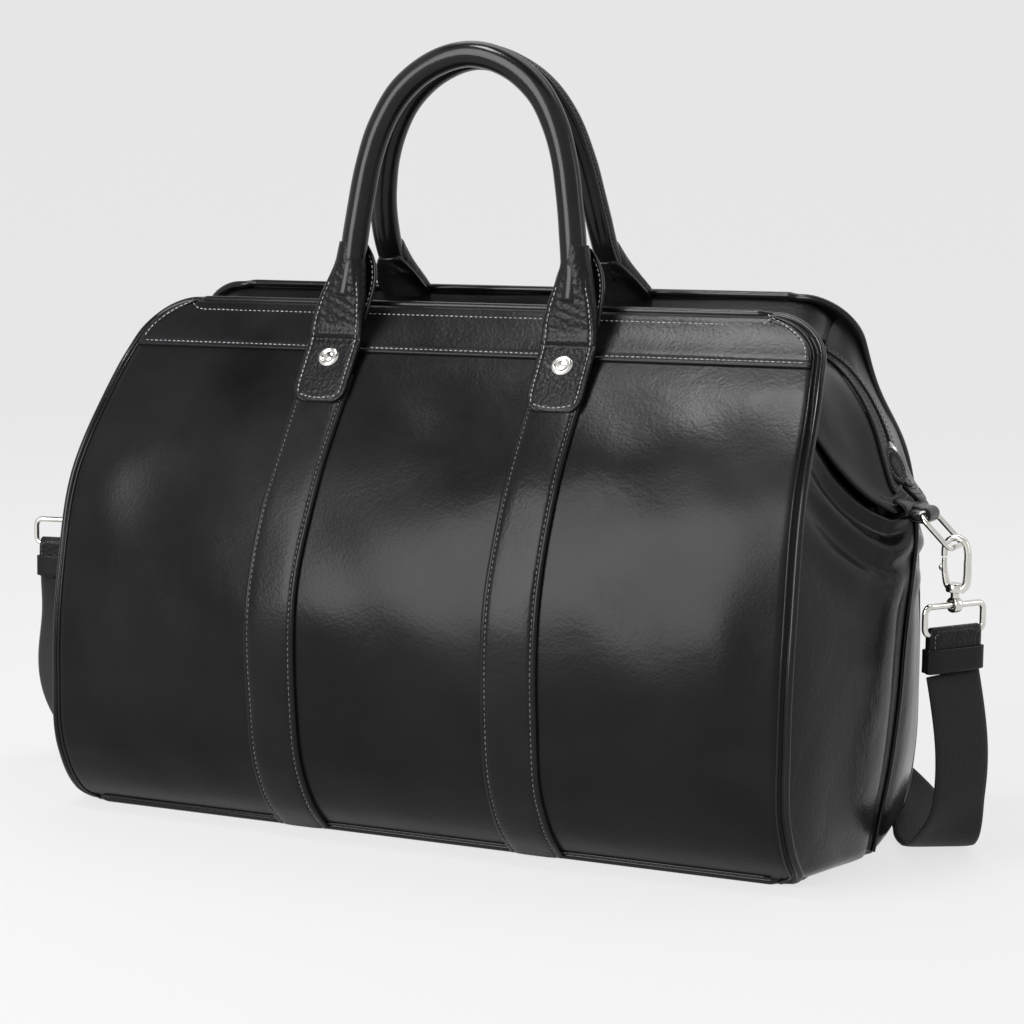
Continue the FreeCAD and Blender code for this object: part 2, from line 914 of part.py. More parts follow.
# ---- handles ------------------------------------------------------------------------------
def half_arch(name, side, outer, bore):
    """Half of a bent tube from the top of the arch down one leg, then its mirror image."""
    body = new_body(name)
    path = new_sketch(body, "XZ_Plane")
    apex, angle = f"{side}_apex_s", f"{side}_leg_angle * 1 deg"
    bend_x = f"handle_arch * cos({angle})"
    bend_z = f"{apex} - handle_arch + handle_arch * sin({angle})"
    draw(
        path,
        [("0", apex), (bend_x, bend_z), (f"{side}_foot_x", "handle_foot_s")],
        {0: ("handle_arch", 1)},
        closed=False,
    )
    profile = new_sketch(body, "YZ_Plane")
    draw_circle(profile, ("0", apex), outer)
    if bore:
        draw_circle(profile, ("0", apex), bore)
    pipe = body.newObject("PartDesign::AdditivePipe", "Pipe")
    pipe.Profile = profile
    pipe.Spine = (path, ["Edge1", "Edge2"])
    doc.recompute()
    mirror = body.newObject("PartDesign::Mirrored", "Mirrored")
    mirror.Originals = [pipe]
    mirror.MirrorPlane = (plane_of(body, "YZ_Plane"), [""])
    body.Tip = mirror
    doc.recompute()
    return body


def make_handle(side):
    """A rolled handle in its own leaning plane, and the flares that carry it to the chapes."""
    seat = HANDLE_SEATS[side]
    plane = Placement(Vector(0, seat["y"], seat["z"]), Rotation(X_AXIS, -seat["lean"]))
    skin = half_arch(f"{side}_skin", side, "handle_dia/2", "handle_bore/2")
    core = half_arch(f"{side}_core", side, "core_dia/2", None)
    flare = new_body(f"{side}_flare")
    sections = []
    for x, y, s, half_x, half_y in (
        (
            "strap_centre",
            seat["flare_y"],
            seat["flare_s"],
            "flare_half_width",
            "flare_half_thick",
        ),
        (
            f"{side}_foot_x",
            0,
            "handle_foot_s - 1.8",
            "handle_dia/2",
            "handle_dia/2",
        ),
    ):
        sketch = new_sketch(flare, "XY_Plane", s)
        draw(
            sketch,
            [
                (
                    f"{x} + {half_x} * cos({angle} * 1 deg)",
                    f"{y} + {half_y} * sin({angle} * 1 deg)",
                )
                for angle in range(0, 360, 30)
            ],
        )
        sections.append(sketch)
    loft = flare.newObject("PartDesign::AdditiveLoft", "Loft")
    loft.Profile = sections[0]
    loft.Sections = sections[1:]
    loft.Ruled = True
    doc.recompute()
    flares = pair(f"{side}_flare_pair", flare)
    for piece, label in (
        (skin, f"{side}_handle_skin"),
        (core, f"{side}_handle_core"),
        (flares, f"{side}_handle_flares"),
    ):
        piece.Placement = plane
        keep(piece, label)


# ---- ear tabs, rings, hooks and the ends of the shoulder strap ----------------------------
def make_ear_tabs():
    tab = padded(
        "ear_tab",
        "XZ_Plane",
        [
            ("240", "188"),
            ("249.8", "188"),
            ("249.8", "193.5"),
            ("240", "197.5"),
        ],
        "2*tab_half_width",
    )
    keep(pair("ear_tab_pair", tab), "ear_tabs")
    roll = disc("loop_roll", "loop_outer", "", "2*loop_half_width")
    roll.Placement = Placement(
        Vector(size("loop_x"), 0, size("loop_z")), Rotation(Z_AXIS, 90)
    )
    tail = box(
        "loop_tail",
        "4",
        "2*loop_half_width",
        "3.6",
        ("249.9", "-loop_half_width", "loop_z - 1.8"),
    )
    bore = disc("loop_hole", "loop_bore", "", "2*loop_half_width + 2")
    bore.Placement = roll.Placement
    loop = cut("loop_one", fused("loop_solid", roll, tail), bore)
    keep(pair("loop_pair", loop), "ring_loops")


def rounded_ring(name, half_width, drop, corner, bar):
    """A bent wire ring with its upper bar on the X axis and its lower bar below it."""
    body = new_body(name)
    path = new_sketch(body, "XZ_Plane")
    points = [
        ("0", "0"),
        (f"{half_width} - {corner}", "0"),
        (half_width, f"-{corner}"),
        (half_width, f"-{drop} + {corner}"),
        (f"{half_width} - {corner}", f"-{drop}"),
        (f"-({half_width} - {corner})", f"-{drop}"),
        (f"-{half_width}", f"-{drop} + {corner}"),
        (f"-{half_width}", f"-{corner}"),
        (f"-({half_width} - {corner})", "0"),
    ]
    arcs = {1: (corner, 1), 3: (corner, 1), 5: (corner, 1), 7: (corner, 1)}
    draw(path, points, arcs)
    profile = new_sketch(body, "YZ_Plane")
    draw_circle(profile, ("0", "0"), f"{bar}/2")
    pipe = body.newObject("PartDesign::AdditivePipe", "Pipe")
    pipe.Profile = profile
    pipe.Spine = (path, [f"Edge{n + 1}" for n in range(len(points))])
    doc.recompute()
    return body


def hook_origin(end):
    """The middle of the strap ring's upper bar, where the snap hook's swivel holds it."""
    slope = math.radians(end["ring_slope"])
    lean = math.radians(end["hook_lean"])
    reach = size("loop_x") + size("ring_length") * math.cos(slope)
    seat_z = size("loop_z") - size("ring_length") * math.sin(slope)
    reach += size("hook_seat") * math.sin(lean)
    height = seat_z - size("hook_seat") * math.cos(lean)
    return Vector(end["sign"] * reach, 0, height)


def make_hardware(which):
    end = ENDS[which]
    sign = end["sign"]
    ring = rounded_ring(
        f"oval_{which}", "ring_half_width", "ring_length", "ring_corner", "ring_bar"
    )
    ring.Placement = Placement(
        Vector(sign * size("loop_x"), 0, size("loop_z")),
        Rotation(Y_AXIS, -sign * (90 - end["ring_slope"])).multiply(
            Rotation(Z_AXIS, 90)
        ),
    )
    keep(ring, f"oval_ring_{which}")

    at_hook = Placement(hook_origin(end), Rotation(Y_AXIS, -sign * end["hook_lean"]))
    low, high, half, bar = "hook_low", "hook_high", "hook_width/2", "hook_bar"
    gate_low, gate_high = "hook_low + 2.2", "hook_low + 18.6"
    crook = f"({half} - {bar})"
    claw = padded(
        f"claw_{which}",
        "XZ_Plane",
        [
            (f"-{half} + 1", low),
            (f"{half} - 1", low),
            (half, f"{low} + 6"),
            (half, f"{high} - {half}"),
            ("0", high),
            (f"-{half}", f"{high} - {half}"),
            (f"-{half}", f"{gate_high} + 0.4"),
            (f"-{half} + {bar}", f"{gate_high} + 0.4"),
            (f"-{half} + {bar}", f"{high} - {half}"),
            ("0", f"{high} - {bar}"),
            (f"{half} - {bar}", f"{high} - {half}"),
            (f"{half} - {bar}", f"{low} + 4"),
            (f"-{half} + {bar} + 0.6", f"{low} + 4"),
            (f"-{half} + {bar} + 0.6", f"{low} + 1.4"),
            (f"-{half} + 1", f"{low} + 1.4"),
        ],
        "hook_thick",
        {3: (half, -1), 4: (half, -1), 8: (crook, 1), 9: (crook, 1)},
        at_hook,
    )
    keep(claw, f"snap_hook_{which}")
    gate = padded(
        f"lever_{which}",
        "XZ_Plane",
        [
            (f"-{half} + 0.2", gate_low),
            (f"-{half} + {bar} - 0.2", gate_low),
            (f"-{half} + {bar} - 0.2", gate_high),
            (f"-{half} + 0.2", gate_high),
        ],
        "hook_thick - 0.4",
        None,
        at_hook,
    )
    keep(gate, f"hook_gate_{which}")

    turn = Rotation(Z_AXIS, end["strap_turn"])
    origin = hook_origin(end)
    eye = disc(f"swivel_eye_{which}", "swivel_outer", "swivel_bore", "hook_thick")
    eye.Placement = Placement(origin, turn)
    stem = doc.addObject("Part::Cylinder", f"swivel_stem_{which}")
    stem.setExpression("Radius", named("swivel_bore"))
    stem.setExpression("Height", named("hook_low - 4.3"))
    stem.Placement = at_hook.multiply(Placement(Vector(0, 0, 4), Rotation()))
    keep(fused(f"swivel_both_{which}", eye, stem), f"hook_swivel_{which}")

    square = rounded_ring(
        f"square_{which}",
        "strap_ring_half_width",
        "strap_ring_height",
        "strap_ring_corner",
        "strap_ring_bar",
    )
    square.Placement = Placement(origin, turn)
    keep(square, f"strap_ring_{which}")

    block = box(
        f"end_block_{which}",
        "webbing_width",
        "strap_end_thick",
        "strap_end_rise + strap_end_fall",
        (
            "-webbing_width/2",
            "-strap_end_thick/2",
            "-strap_ring_height - strap_end_fall",
        ),
    )
    slot = disc(
        f"end_slot_{which}", "strap_ring_bar/2 + 0.4", "", "webbing_width + 2"
    )
    slot.setExpression(".Placement.Base.z", named("-strap_ring_height"))
    tongue = cut(f"end_tongue_{which}", block, slot)
    tongue.Placement = Placement(origin, turn)
    keep(tongue, f"strap_end_{which}")

    band = box(
        f"band_{which}",
        "webbing_width + 3.4",
        "strap_end_thick + 3.4",
        "keeper_height",
        (
            "-webbing_width/2 - 1.7",
            "-strap_end_thick/2 - 1.7",
            "-strap_ring_height - strap_end_fall + 1",
        ),
    )
    hole = box(
        f"band_hole_{which}",
        "webbing_width + 0.4",
        "strap_end_thick + 0.4",
        "keeper_height + 2",
        (
            "-webbing_width/2 - 0.2",
            "-strap_end_thick/2 - 0.2",
            "-strap_ring_height - strap_end_fall",
        ),
    )
    keeper = cut(f"keeper_{which}", band, hole)
    keeper.Placement = Placement(origin, turn)
    return keeper


# ---- webbing ------------------------------------------------------------------------------
def unit(vector):
    return Vector(vector).normalize()


def webbing_sections():
    """The four corners of the webbing's cross-section at every point of its route."""
    spots = [Vector(*spot) for spot in WEBBING_ROUTE]
    half_w, half_t = size("webbing_width/2"), size("webbing_thick/2")
    top_turn = {0: ENDS["right"]["strap_turn"], len(spots) - 1: ENDS["left"]["strap_turn"]}
    sections = []
    previous = None
    for index, spot in enumerate(spots):
        before = spots[max(index - 1, 0)]
        after = spots[min(index + 1, len(spots) - 1)]
        along = unit(after - before)
        if index in top_turn:
            along = Vector(0, 0, -1 if index == 0 else 1)
            turn = math.radians(top_turn[index])
            wide = Vector(math.cos(turn), math.sin(turn), 0)
            if index:
                wide = wide * (1 if wide.dot(previous) > 0 else -1)
        else:
            level = Z_AXIS.cross(along)
            wide = previous - along * previous.dot(along)
            if level.Length > 0.5:
                level = unit(level) * (1 if level.dot(previous) > 0 else -1)
                roll = math.radians(WEBBING_ROLL[index])
                up = unit(Z_AXIS - along * along.z)
                wide = level * math.cos(roll) + up * math.sin(roll)
            wide = unit(wide)
        face = unit(along.cross(wide))
        sections.append(
            [
                spot + wide * (half_w * a) + face * (half_t * b)
                for a, b in ((-1, -1), (1, -1), (1, 1), (-1, 1))
            ]
        )
        previous = wide
    return sections


def make_webbing():
    """A flat strap, made as a closed shell of triangles between its cross-sections."""
    sections = webbing_sections()
    lift = -min(min(corner.z for corner in section) for section in sections)
    print(f"webbing lowest point {-lift:.2f}")
    faces = []

    def triangle(a, b, c):
        faces.append(Part.Face(Part.makePolygon([a, b, c, a])))

    for first, second in zip(sections, sections[1:]):
        for corner in range(4):
            follow = (corner + 1) % 4
            triangle(first[corner], first[follow], second[follow])
            triangle(first[corner], second[follow], second[corner])
    for section in (sections[0], sections[-1]):
        triangle(section[0], section[1], section[2])
        triangle(section[0], section[2], section[3])
    shell = Part.makeShell(faces)
    shell.sewShape()
    solid = Part.makeSolid(shell)
    if solid.Volume < 0:
        solid.reverse()
    webbing = doc.addObject("Part::Feature", "webbing")
    webbing.Shape = solid
    webbing.Placement = Placement()
    keep(webbing, "strap_webbing")
    print_route(size("webbing_width") * size("webbing_thick"), solid.Volume)


def print_route(section_area, volume):
    """Prints the length of the route and the radius that each of its corners has room for."""
    spots = [Vector(*spot) for spot in WEBBING_ROUTE]
    runs = [(b - a).Length for a, b in zip(spots, spots[1:])]
    radii = []
    for index in range(1, len(spots) - 1):
        back = spots[index - 1] - spots[index]
        ahead = spots[index + 1] - spots[index]
        turn = math.pi - back.getAngle(ahead)
        shorter = min(runs[index - 1], runs[index])
        radii.append(round(0.45 * shorter / math.tan(turn / 2)))
    print(f"webbing length {sum(runs):.0f}, runs {[round(run) for run in runs]}")
    print(f"corner radii {radii}")
    print(f"volume {volume:.0f} against section times length {section_area * sum(runs):.0f}")


def make_adjuster():
    """A sleeve-like slide round the webbing, behind the bag."""
    x, y, z = WEBBING_ROUTE[ADJUSTER_AT]
    outer = box(
        "slide_outer",
        "adjuster_length",
        "webbing_thick + 5.8",
        "webbing_width + 4.4",
        (
            f"{x} - adjuster_length/2",
            f"{y} - (webbing_thick + 5.8)/2",
            f"{z} - (webbing_width + 4.4)/2",
        ),
    )
    inner = box(
        "slide_inner",
        "adjuster_length + 2",
        "webbing_thick + 2.8",
        "webbing_width + 1.4",
        (
            f"{x} - adjuster_length/2 - 1",
            f"{y} - (webbing_thick + 2.8)/2",
            f"{z} - (webbing_width + 1.4)/2",
        ),
    )
    keep(cut("slide_frame", outer, inner), "strap_adjuster")


# ---- the whole bag ------------------------------------------------------------------------
make_base()
make_gussets()
make_lining()
for side in ("front", "back"):
    make_panels(side)
    make_straps(side)
    make_chapes(side)
    make_piping(side)
    make_ears(side)
    make_facing(side)
    make_zip(side)
    make_stay(side)
    make_handle(side)
make_slider()
make_pivots()
make_ear_tabs()
keepers = [make_hardware(which) for which in ENDS]
keep(group("keeper_pair", *keepers), "strap_keepers")
make_webbing()
make_adjuster()
doc.recompute()

# ---- checks and export --------------------------------------------------------------------
troubles = []
for thing in doc.Objects:
    if "Invalid" in thing.State or "Error" in thing.State:
        troubles.append(f"{thing.Label}: {thing.State}")
for label, thing in sub_parts.items():
    shape = thing.Shape
    if shape.isNull() or not shape.isValid() or shape.Volume <= 0 or not shape.Solids:
        troubles.append(f"{label}: no valid solid")
if troubles:
    raise RuntimeError("; ".join(troubles))

os.makedirs(OUT_DIR, exist_ok=True)
for label, thing in sub_parts.items():
    thing.Shape.exportStep(os.path.join(OUT_DIR, f"{label}.step"))
print(f"{len(sub_parts)} sub-parts written")
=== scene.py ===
"""Looks of a black leather doctor bag: metres, +Z up, -Y is the front, +X is the right end."""

import json
import math

import bpy
import numpy as np
from mathutils import Matrix, Vector


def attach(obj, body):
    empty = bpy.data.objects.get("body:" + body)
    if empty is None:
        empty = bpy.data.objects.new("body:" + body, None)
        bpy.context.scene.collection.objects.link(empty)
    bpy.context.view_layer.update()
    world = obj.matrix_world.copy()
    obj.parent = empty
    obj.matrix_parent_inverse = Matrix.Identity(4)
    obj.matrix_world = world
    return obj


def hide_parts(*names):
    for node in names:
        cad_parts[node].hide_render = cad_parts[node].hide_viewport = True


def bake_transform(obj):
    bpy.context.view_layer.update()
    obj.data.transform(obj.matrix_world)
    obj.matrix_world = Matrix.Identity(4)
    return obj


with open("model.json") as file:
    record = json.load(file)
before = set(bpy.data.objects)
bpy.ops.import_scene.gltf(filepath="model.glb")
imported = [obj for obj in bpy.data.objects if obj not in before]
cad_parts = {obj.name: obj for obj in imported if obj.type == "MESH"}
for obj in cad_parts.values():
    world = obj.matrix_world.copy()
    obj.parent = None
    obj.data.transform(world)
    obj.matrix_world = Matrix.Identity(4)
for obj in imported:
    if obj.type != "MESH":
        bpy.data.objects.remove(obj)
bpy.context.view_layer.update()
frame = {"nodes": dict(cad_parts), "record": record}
MM = 0.001


# ---- camera ---------------------------------------------------------------------------------
def make_camera():
    turn, pitch, roll = math.radians(24.9), math.radians(6.35), math.radians(0.73)
    back = Vector(
        (
            math.sin(turn) * math.cos(pitch),
            -math.cos(turn) * math.cos(pitch),
            math.sin(pitch),
        )
    )
    right = Vector((math.cos(turn), math.sin(turn), 0))
    up = back.cross(right)
    right_r = right * math.cos(roll) + up * math.sin(roll)
    up_r = up * math.cos(roll) - right * math.sin(roll)
    camera = bpy.data.objects.new("camera", bpy.data.cameras.new("camera"))
    bpy.context.scene.collection.objects.link(camera)
    camera.matrix_world = Matrix.Translation((0.622, -1.312, 0.335)) @ Matrix(
        (right_r, up_r, back)
    ).transposed().to_4x4()
    camera.data.lens = 89.6
    camera.data.sensor_width = 36
    camera.data.clip_end = 50
    bpy.context.scene.camera = camera


make_camera()


# ---- small tools ----------------------------------------------------------------------------
def smooth_line(stations, values):
    """A smooth curve through the values at the stations (cubic, slopes from the neighbours)."""
    xs, ys = np.array(stations, float), np.array(values, float)
    slopes = np.gradient(ys, xs)

    def at(x):
        x = np.clip(np.asarray(x, float), xs[0], xs[-1])
        k = np.clip(np.searchsorted(xs, x) - 1, 0, len(xs) - 2)
        h = xs[k + 1] - xs[k]
        t = (x - xs[k]) / h
        return (
            (2 * t**3 - 3 * t**2 + 1) * ys[k]
            + (t**3 - 2 * t**2 + t) * h * slopes[k]
            + (3 * t**2 - 2 * t**3) * ys[k + 1]
            + (t**3 - t**2) * h * slopes[k + 1]
        )

    return at


def reach_of(points):
    """The distance of each point from the first, along their line."""
    return np.concatenate([[0], np.cumsum(np.linalg.norm(np.diff(points, axis=0), axis=1))])


def read_off(spots, stations, points):
    """Points read off a line that has the given ones at its stations."""
    return np.stack([np.interp(spots, stations, column) for column in points.T], axis=-1)


def smooth_points(points, count):
    """Evenly spaced points on a smooth line through a few given ones."""
    p = np.array(points, float)
    reach = reach_of(p)
    fine = np.linspace(0, reach[-1], 40 * len(p))
    q = np.stack([smooth_line(reach, column)(fine) for column in p.T], axis=1)
    reach = reach_of(q)
    return read_off(np.linspace(0, reach[-1], count), reach, q)


def ease(x):
    x = np.clip(x, 0, 1)
    return x * x * (3 - 2 * x)


def unit_rows(v):
    return v / np.maximum(np.linalg.norm(v, axis=-1, keepdims=True), 1e-12)


# One stitch: share of its length, share of its radius, and rise in radii.
THREAD_SHAPE = [
    (-0.5, 0.25, -0.5), (-0.36, 0.85, 0.25), (0, 1.0, 0.55), (0.36, 0.85, 0.25), (0.5, 0.25, -0.5)
]


class Build:
    """Gathers several shells into one mesh."""

    def __init__(self):
        self.points, self.faces = [], []

    def add(self, points, faces):
        base = len(self.points)
        self.points.extend(np.asarray(points, float).reshape(-1, 3))
        self.faces.extend([tuple(i + base for i in f) for f in faces])

    def grid(self, p, around=False, caps=False):
        """Faces over a grid of points [row, column, 3]; around closes each row on itself."""
        rows, cols = p.shape[:2]
        faces = []
        for i in range(rows - 1):
            for j in range(cols if around else cols - 1):
                k = (j + 1) % cols
                low, high = i * cols, (i + 1) * cols
                faces.append((low + j, low + k, high + k, high + j))
        if caps and around:
            faces.append(tuple(range(cols))[::-1])
            faces.append(tuple((rows - 1) * cols + j for j in range(cols)))
        self.add(p.reshape(-1, 3), faces)

    def plate(self, outer, inner):
        """A closed sheet between two grids of the same shape."""
        rows, cols = outer.shape[:2]
        n = rows * cols
        faces = []
        for i in range(rows - 1):
            for j in range(cols - 1):
                a, d = i * cols + j, (i + 1) * cols + j
                b, c = a + 1, d + 1
                faces.append((a, b, c, d))
                faces.append((d + n, c + n, b + n, a + n))
        rim = (
            list(range(cols))
            + [i * cols + cols - 1 for i in range(1, rows)]
            + [(rows - 1) * cols + j for j in range(cols - 2, -1, -1)]
            + [i * cols for i in range(rows - 2, 0, -1)]
        )
        for a, b in zip(rim, rim[1:] + rim[:1]):
            faces.append((b, a, a + n, b + n))
        self.add(np.concatenate([outer.reshape(-1, 3), inner.reshape(-1, 3)]), faces)

    def tube(self, path, radius, sides=10, closed=False):
        path = np.asarray(path, float)
        if closed:
            along = np.roll(path, -1, axis=0) - np.roll(path, 1, axis=0)
        else:
            along = np.gradient(path, axis=0)
        along = unit_rows(along)
        side = np.zeros_like(path)
        guess = np.array([0.0, 0.0, 1.0] if abs(along[0][2]) < 0.9 else [0.0, 1.0, 0.0])
        for i, a in enumerate(along):
            guess = guess - a * guess.dot(a)
            guess /= np.linalg.norm(guess)
            side[i] = guess
        other = np.cross(along, side)
        turn = np.arange(sides) * 2 * math.pi / sides
        r = np.broadcast_to(np.asarray(radius, float), (len(path),))[:, None, None]
        ring = (
            path[:, None, :]
            + side[:, None, :] * (np.cos(turn)[None, :, None] * r)
            + other[:, None, :] * (np.sin(turn)[None, :, None] * r)
        )
        if closed:
            ring = np.concatenate([ring, ring[:1]])
        self.grid(ring, around=True, caps=not closed)

    def sweep(self, path, sections, across):
        """A closed tube whose sections are given in (across, outward) at each point of the path."""
        path = np.asarray(path, float)
        along = unit_rows(np.gradient(path, axis=0))
        across = np.broadcast_to(np.asarray(across, float), path.shape)
        across = unit_rows(across - along * np.sum(across * along, axis=1, keepdims=True))
        outward = np.cross(across, along)
        sections = np.asarray(sections, float)
        if sections.ndim == 2:
            sections = np.broadcast_to(sections, (len(path),) + sections.shape)
        ring = (
            path[:, None, :]
            + across[:, None, :] * sections[:, :, 0:1]
            + outward[:, None, :] * sections[:, :, 1:2]
        )
        self.grid(ring, around=True, caps=True)

    def stitches(self, path, normals, pitch=3.0 * MM, length=2.2 * MM, radius=0.33 * MM):
        """A row of short raised threads along a path."""
        path, normals = np.asarray(path, float), np.asarray(normals, float)
        reach = reach_of(path)
        count = max(2, int(reach[-1] / pitch))
        spots = (np.arange(count) + 0.5) * reach[-1] / count
        at = read_off(spots, reach, path)
        step = 0.2 * pitch
        along = unit_rows(read_off(spots + step, reach, path) - read_off(spots - step, reach, path))
        up = unit_rows(read_off(spots, reach, normals))
        side = np.cross(along, up)
        turn = np.arange(6) * math.pi / 3
        for c, a, s, u in zip(at, along, side, up):
            rings = []
            for t, fat, rise in THREAD_SHAPE:
                middle, wide = c + a * (t * length) + u * (radius * rise), radius * fat
                rings.append([middle + (s * math.cos(w) + u * math.sin(w)) * wide for w in turn])
            self.grid(np.array(rings), around=True, caps=True)

    def lathe(self, profile, centre, axis, sides=40):
        """A turned piece; the profile gives (distance along the axis, radius)."""
        axis = Vector(axis).normalized()
        side = axis.orthogonal().normalized()
        other = axis.cross(side)
        turn = np.arange(sides) * 2 * math.pi / sides
        c, a, s, o = (np.array(v) for v in (centre, axis, side, other))
        ring = np.array(
            [
                [c + a * h + (s * math.cos(w) + o * math.sin(w)) * r for w in turn]
                for h, r in profile
            ]
        )
        self.grid(ring, around=True, caps=True)

    def object(self, name, material, smooth=True):
        mesh = bpy.data.meshes.new(name)
        mesh.from_pydata([tuple(map(float, p)) for p in self.points], [], self.faces)
        mesh.validate()
        mesh.update()
        if smooth:
            mesh.polygons.foreach_set("use_smooth", [True] * len(mesh.polygons))
        mesh.materials.append(material)
        thing = bpy.data.objects.new(name, mesh)
        bpy.context.scene.collection.objects.link(thing)
        return thing


def soften(thing, angle=40):
    """Keeps hard corners crisp on a smooth-shaded piece."""
    mesh = thing.data
    mesh.update()
    limit = math.cos(math.radians(angle))
    normals = [f.normal.copy() for f in mesh.polygons]
    sharp = {}
    for f in mesh.polygons:
        for key in f.edge_keys:
            sharp.setdefault(key, []).append(f.index)
    flags = []
    for edge in mesh.edges:
        pair = sharp.get(tuple(sorted(edge.vertices)), [])
        flags.append(len(pair) == 2 and normals[pair[0]].dot(normals[pair[1]]) < limit)
    if "sharp_edge" not in mesh.attributes:
        mesh.attributes.new("sharp_edge", "BOOLEAN", "EDGE")
    mesh.attributes["sharp_edge"].data.foreach_set("value", flags)
    return thing


# ---- materials ------------------------------------------------------------------------------
class Paint:
    """A Principled material, with short ways to add nodes to it."""

    def __init__(self, name, colour, rough, metal=0.0, coat=0.0, specular=0.5):
        self.material = bpy.data.materials.new(name)
        self.material.use_nodes = True
        self.tree = self.material.node_tree
        self.shader = self.tree.nodes["Principled BSDF"]
        self.set(
            self.shader, Base_Color=(*colour, 1), Roughness=rough, Metallic=metal,
            Coat_Weight=coat, Coat_Roughness=0.12, Specular_IOR_Level=specular,
        )

    def feed(self, socket, value):
        """Sets a socket, or links it where the value is another node's output."""
        if isinstance(value, bpy.types.NodeSocket):
            self.tree.links.new(value, socket)
        else:
            socket.default_value = value

    def set(self, node, **inputs):
        for name, value in inputs.items():
            self.feed(node.inputs[name.replace("_", " ")], value)

    def node(self, kind, **inputs):
        new = self.tree.nodes.new("ShaderNode" + kind)
        self.set(new, **inputs)
        return new

    def texture(self, kind, **inputs):
        return self.node("Tex" + kind, **inputs).outputs["Fac"]

    def sum(self, a, share, b):
        both = self.node("Math")
        both.operation = "MULTIPLY_ADD"
        for socket, value in zip(both.inputs, (a, share, b)):
            self.feed(socket, value)
        return both.outputs["Value"]

    def wave(self, direction, **inputs):
        wave = self.node("TexWave", **inputs)
        wave.bands_direction = direction
        return wave.outputs["Fac"]

    def space(self, scale=(1, 1, 1)):
        where = self.node("TexCoord").outputs["Object"]
        return self.node("Mapping", Vector=where, Scale=scale).outputs["Vector"]

    def map(self, value, low, high, start, end):
        spread = dict(Value=value, From_Min=low, From_Max=high, To_Min=start, To_Max=end)
        return self.node("MapRange", **spread).outputs["Result"]

    def colours(self, source, low, high, stops=(0.3, 0.7)):
        """Sends a value through a two-colour ramp into the base colour."""
        ramp = self.node("ValToRGB", Fac=source)
        for element, stop, colour in zip(ramp.color_ramp.elements, stops, (low, high)):
            element.position = stop
            element.color = (*colour, 1)
        self.set(self.shader, Base_Color=ramp.outputs["Color"])

    def bump(self, *layers):
        """Adds bumps one over another, each a height, a strength and a depth in metres."""
        for height, strength, deep in layers:
            bump = self.node("Bump", Height=height, Strength=strength, Distance=deep)
            for link in tuple(self.shader.inputs["Normal"].links):
                self.tree.links.new(link.from_socket, bump.inputs["Normal"])
            self.set(self.shader, Normal=bump.outputs["Normal"])


def tint(colour, share):
    return tuple(min(1, c * share) for c in colour)


HIDE_SPECULAR = 0.14


def leather(name, colour, rough_low, rough_high, grain, grain_strength, coat, crease=0.25):
    """Glossy hide: pebbled grain, fine pores, soft creases, and patches of uneven polish."""
    paint = Paint(name, colour, rough_low, coat=coat, specular=HIDE_SPECULAR)
    at = paint.space()
    cells = paint.node("TexVoronoi", Vector=at, Scale=grain, Randomness=1)
    cells.feature = "SMOOTH_F1"
    pores = paint.texture("Noise", Vector=at, Scale=grain * 2.6, Detail=3)
    folds = paint.texture("Noise", Vector=at, Scale=26, Detail=4, Distortion=0.8)
    patches = paint.texture("Noise", Vector=at, Scale=9, Detail=5, Roughness=0.6)
    paint.set(paint.shader, Roughness=paint.map(patches, 0.35, 0.68, rough_low, rough_high))
    paint.colours(patches, tint(colour, 0.6), tint(colour, 1.9))
    paint.bump(
        (folds, crease, 0.004),
        (cells.outputs["Distance"], grain_strength, 0.0005),
        (pores, grain_strength * 0.5, 0.00018),
    )
    return paint.material


def cloth(name, colour, scale, rough=0.85, sheen=0.3, strength=0.5):
    """Woven cloth: two crossed fine ribs and a little fluff."""
    paint = Paint(name, colour, rough, specular=0.25)
    paint.set(paint.shader, Sheen_Weight=sheen)
    at = paint.space()
    warp = paint.wave("X", Vector=at, Scale=scale, Distortion=0.6, Detail=1)
    weft = paint.wave("Z", Vector=at, Scale=scale * 1.15, Distortion=0.6, Detail=1)
    fluff = paint.texture("Noise", Vector=at, Scale=260)
    paint.colours(fluff, tint(colour, 0.6), tint(colour, 1.5))
    paint.bump((paint.sum(warp, 1.0, weft), strength, 0.0004))
    return paint.material


def metal(name, colour, rough, brush=0.0, scale=60):
    """Plated or brushed metal with faint handling marks."""
    paint = Paint(name, colour, rough, metal=1.0)
    at = paint.space((1, 1, 6) if brush else (1, 1, 1))
    marks = paint.texture("Noise", Vector=at, Scale=scale, Detail=5)
    paint.set(paint.shader, Roughness=paint.map(marks, 0.3, 0.7, rough * 0.7, rough * 1.7))
    paint.colours(marks, tint(colour, 0.9), colour)
    paint.bump((marks, 0.04 + brush, 0.0002))
    return paint.material


def board_material():
    paint = Paint("board", (0.10, 0.09, 0.08), 0.8)
    grain = paint.texture("Noise", Vector=paint.space(), Scale=150)
    paint.colours(grain, (0.07, 0.06, 0.05), (0.13, 0.12, 0.10))
    return paint.material


def webbing_material():
    """Black nylon webbing: ribs along its length crossed by fine picks, from its own layout."""
    paint = Paint("webbing", (0.012, 0.012, 0.013), 0.7, specular=0.2)
    paint.set(paint.shader, Sheen_Weight=0.04)
    layout = paint.node("UVMap")
    layout.uv_map = "weave"
    ribs = paint.wave("X", Vector=layout.outputs["UV"], Scale=230)
    picks = paint.wave("DIAGONAL", Vector=layout.outputs["UV"], Scale=300, Distortion=0.5)
    both = paint.sum(picks, 0.45, ribs)
    paint.colours(both, (0.002, 0.002, 0.0022), (0.009, 0.009, 0.0095), (0.2, 1.0))
    paint.bump((both, 0.5, 0.0003))
    return paint.material


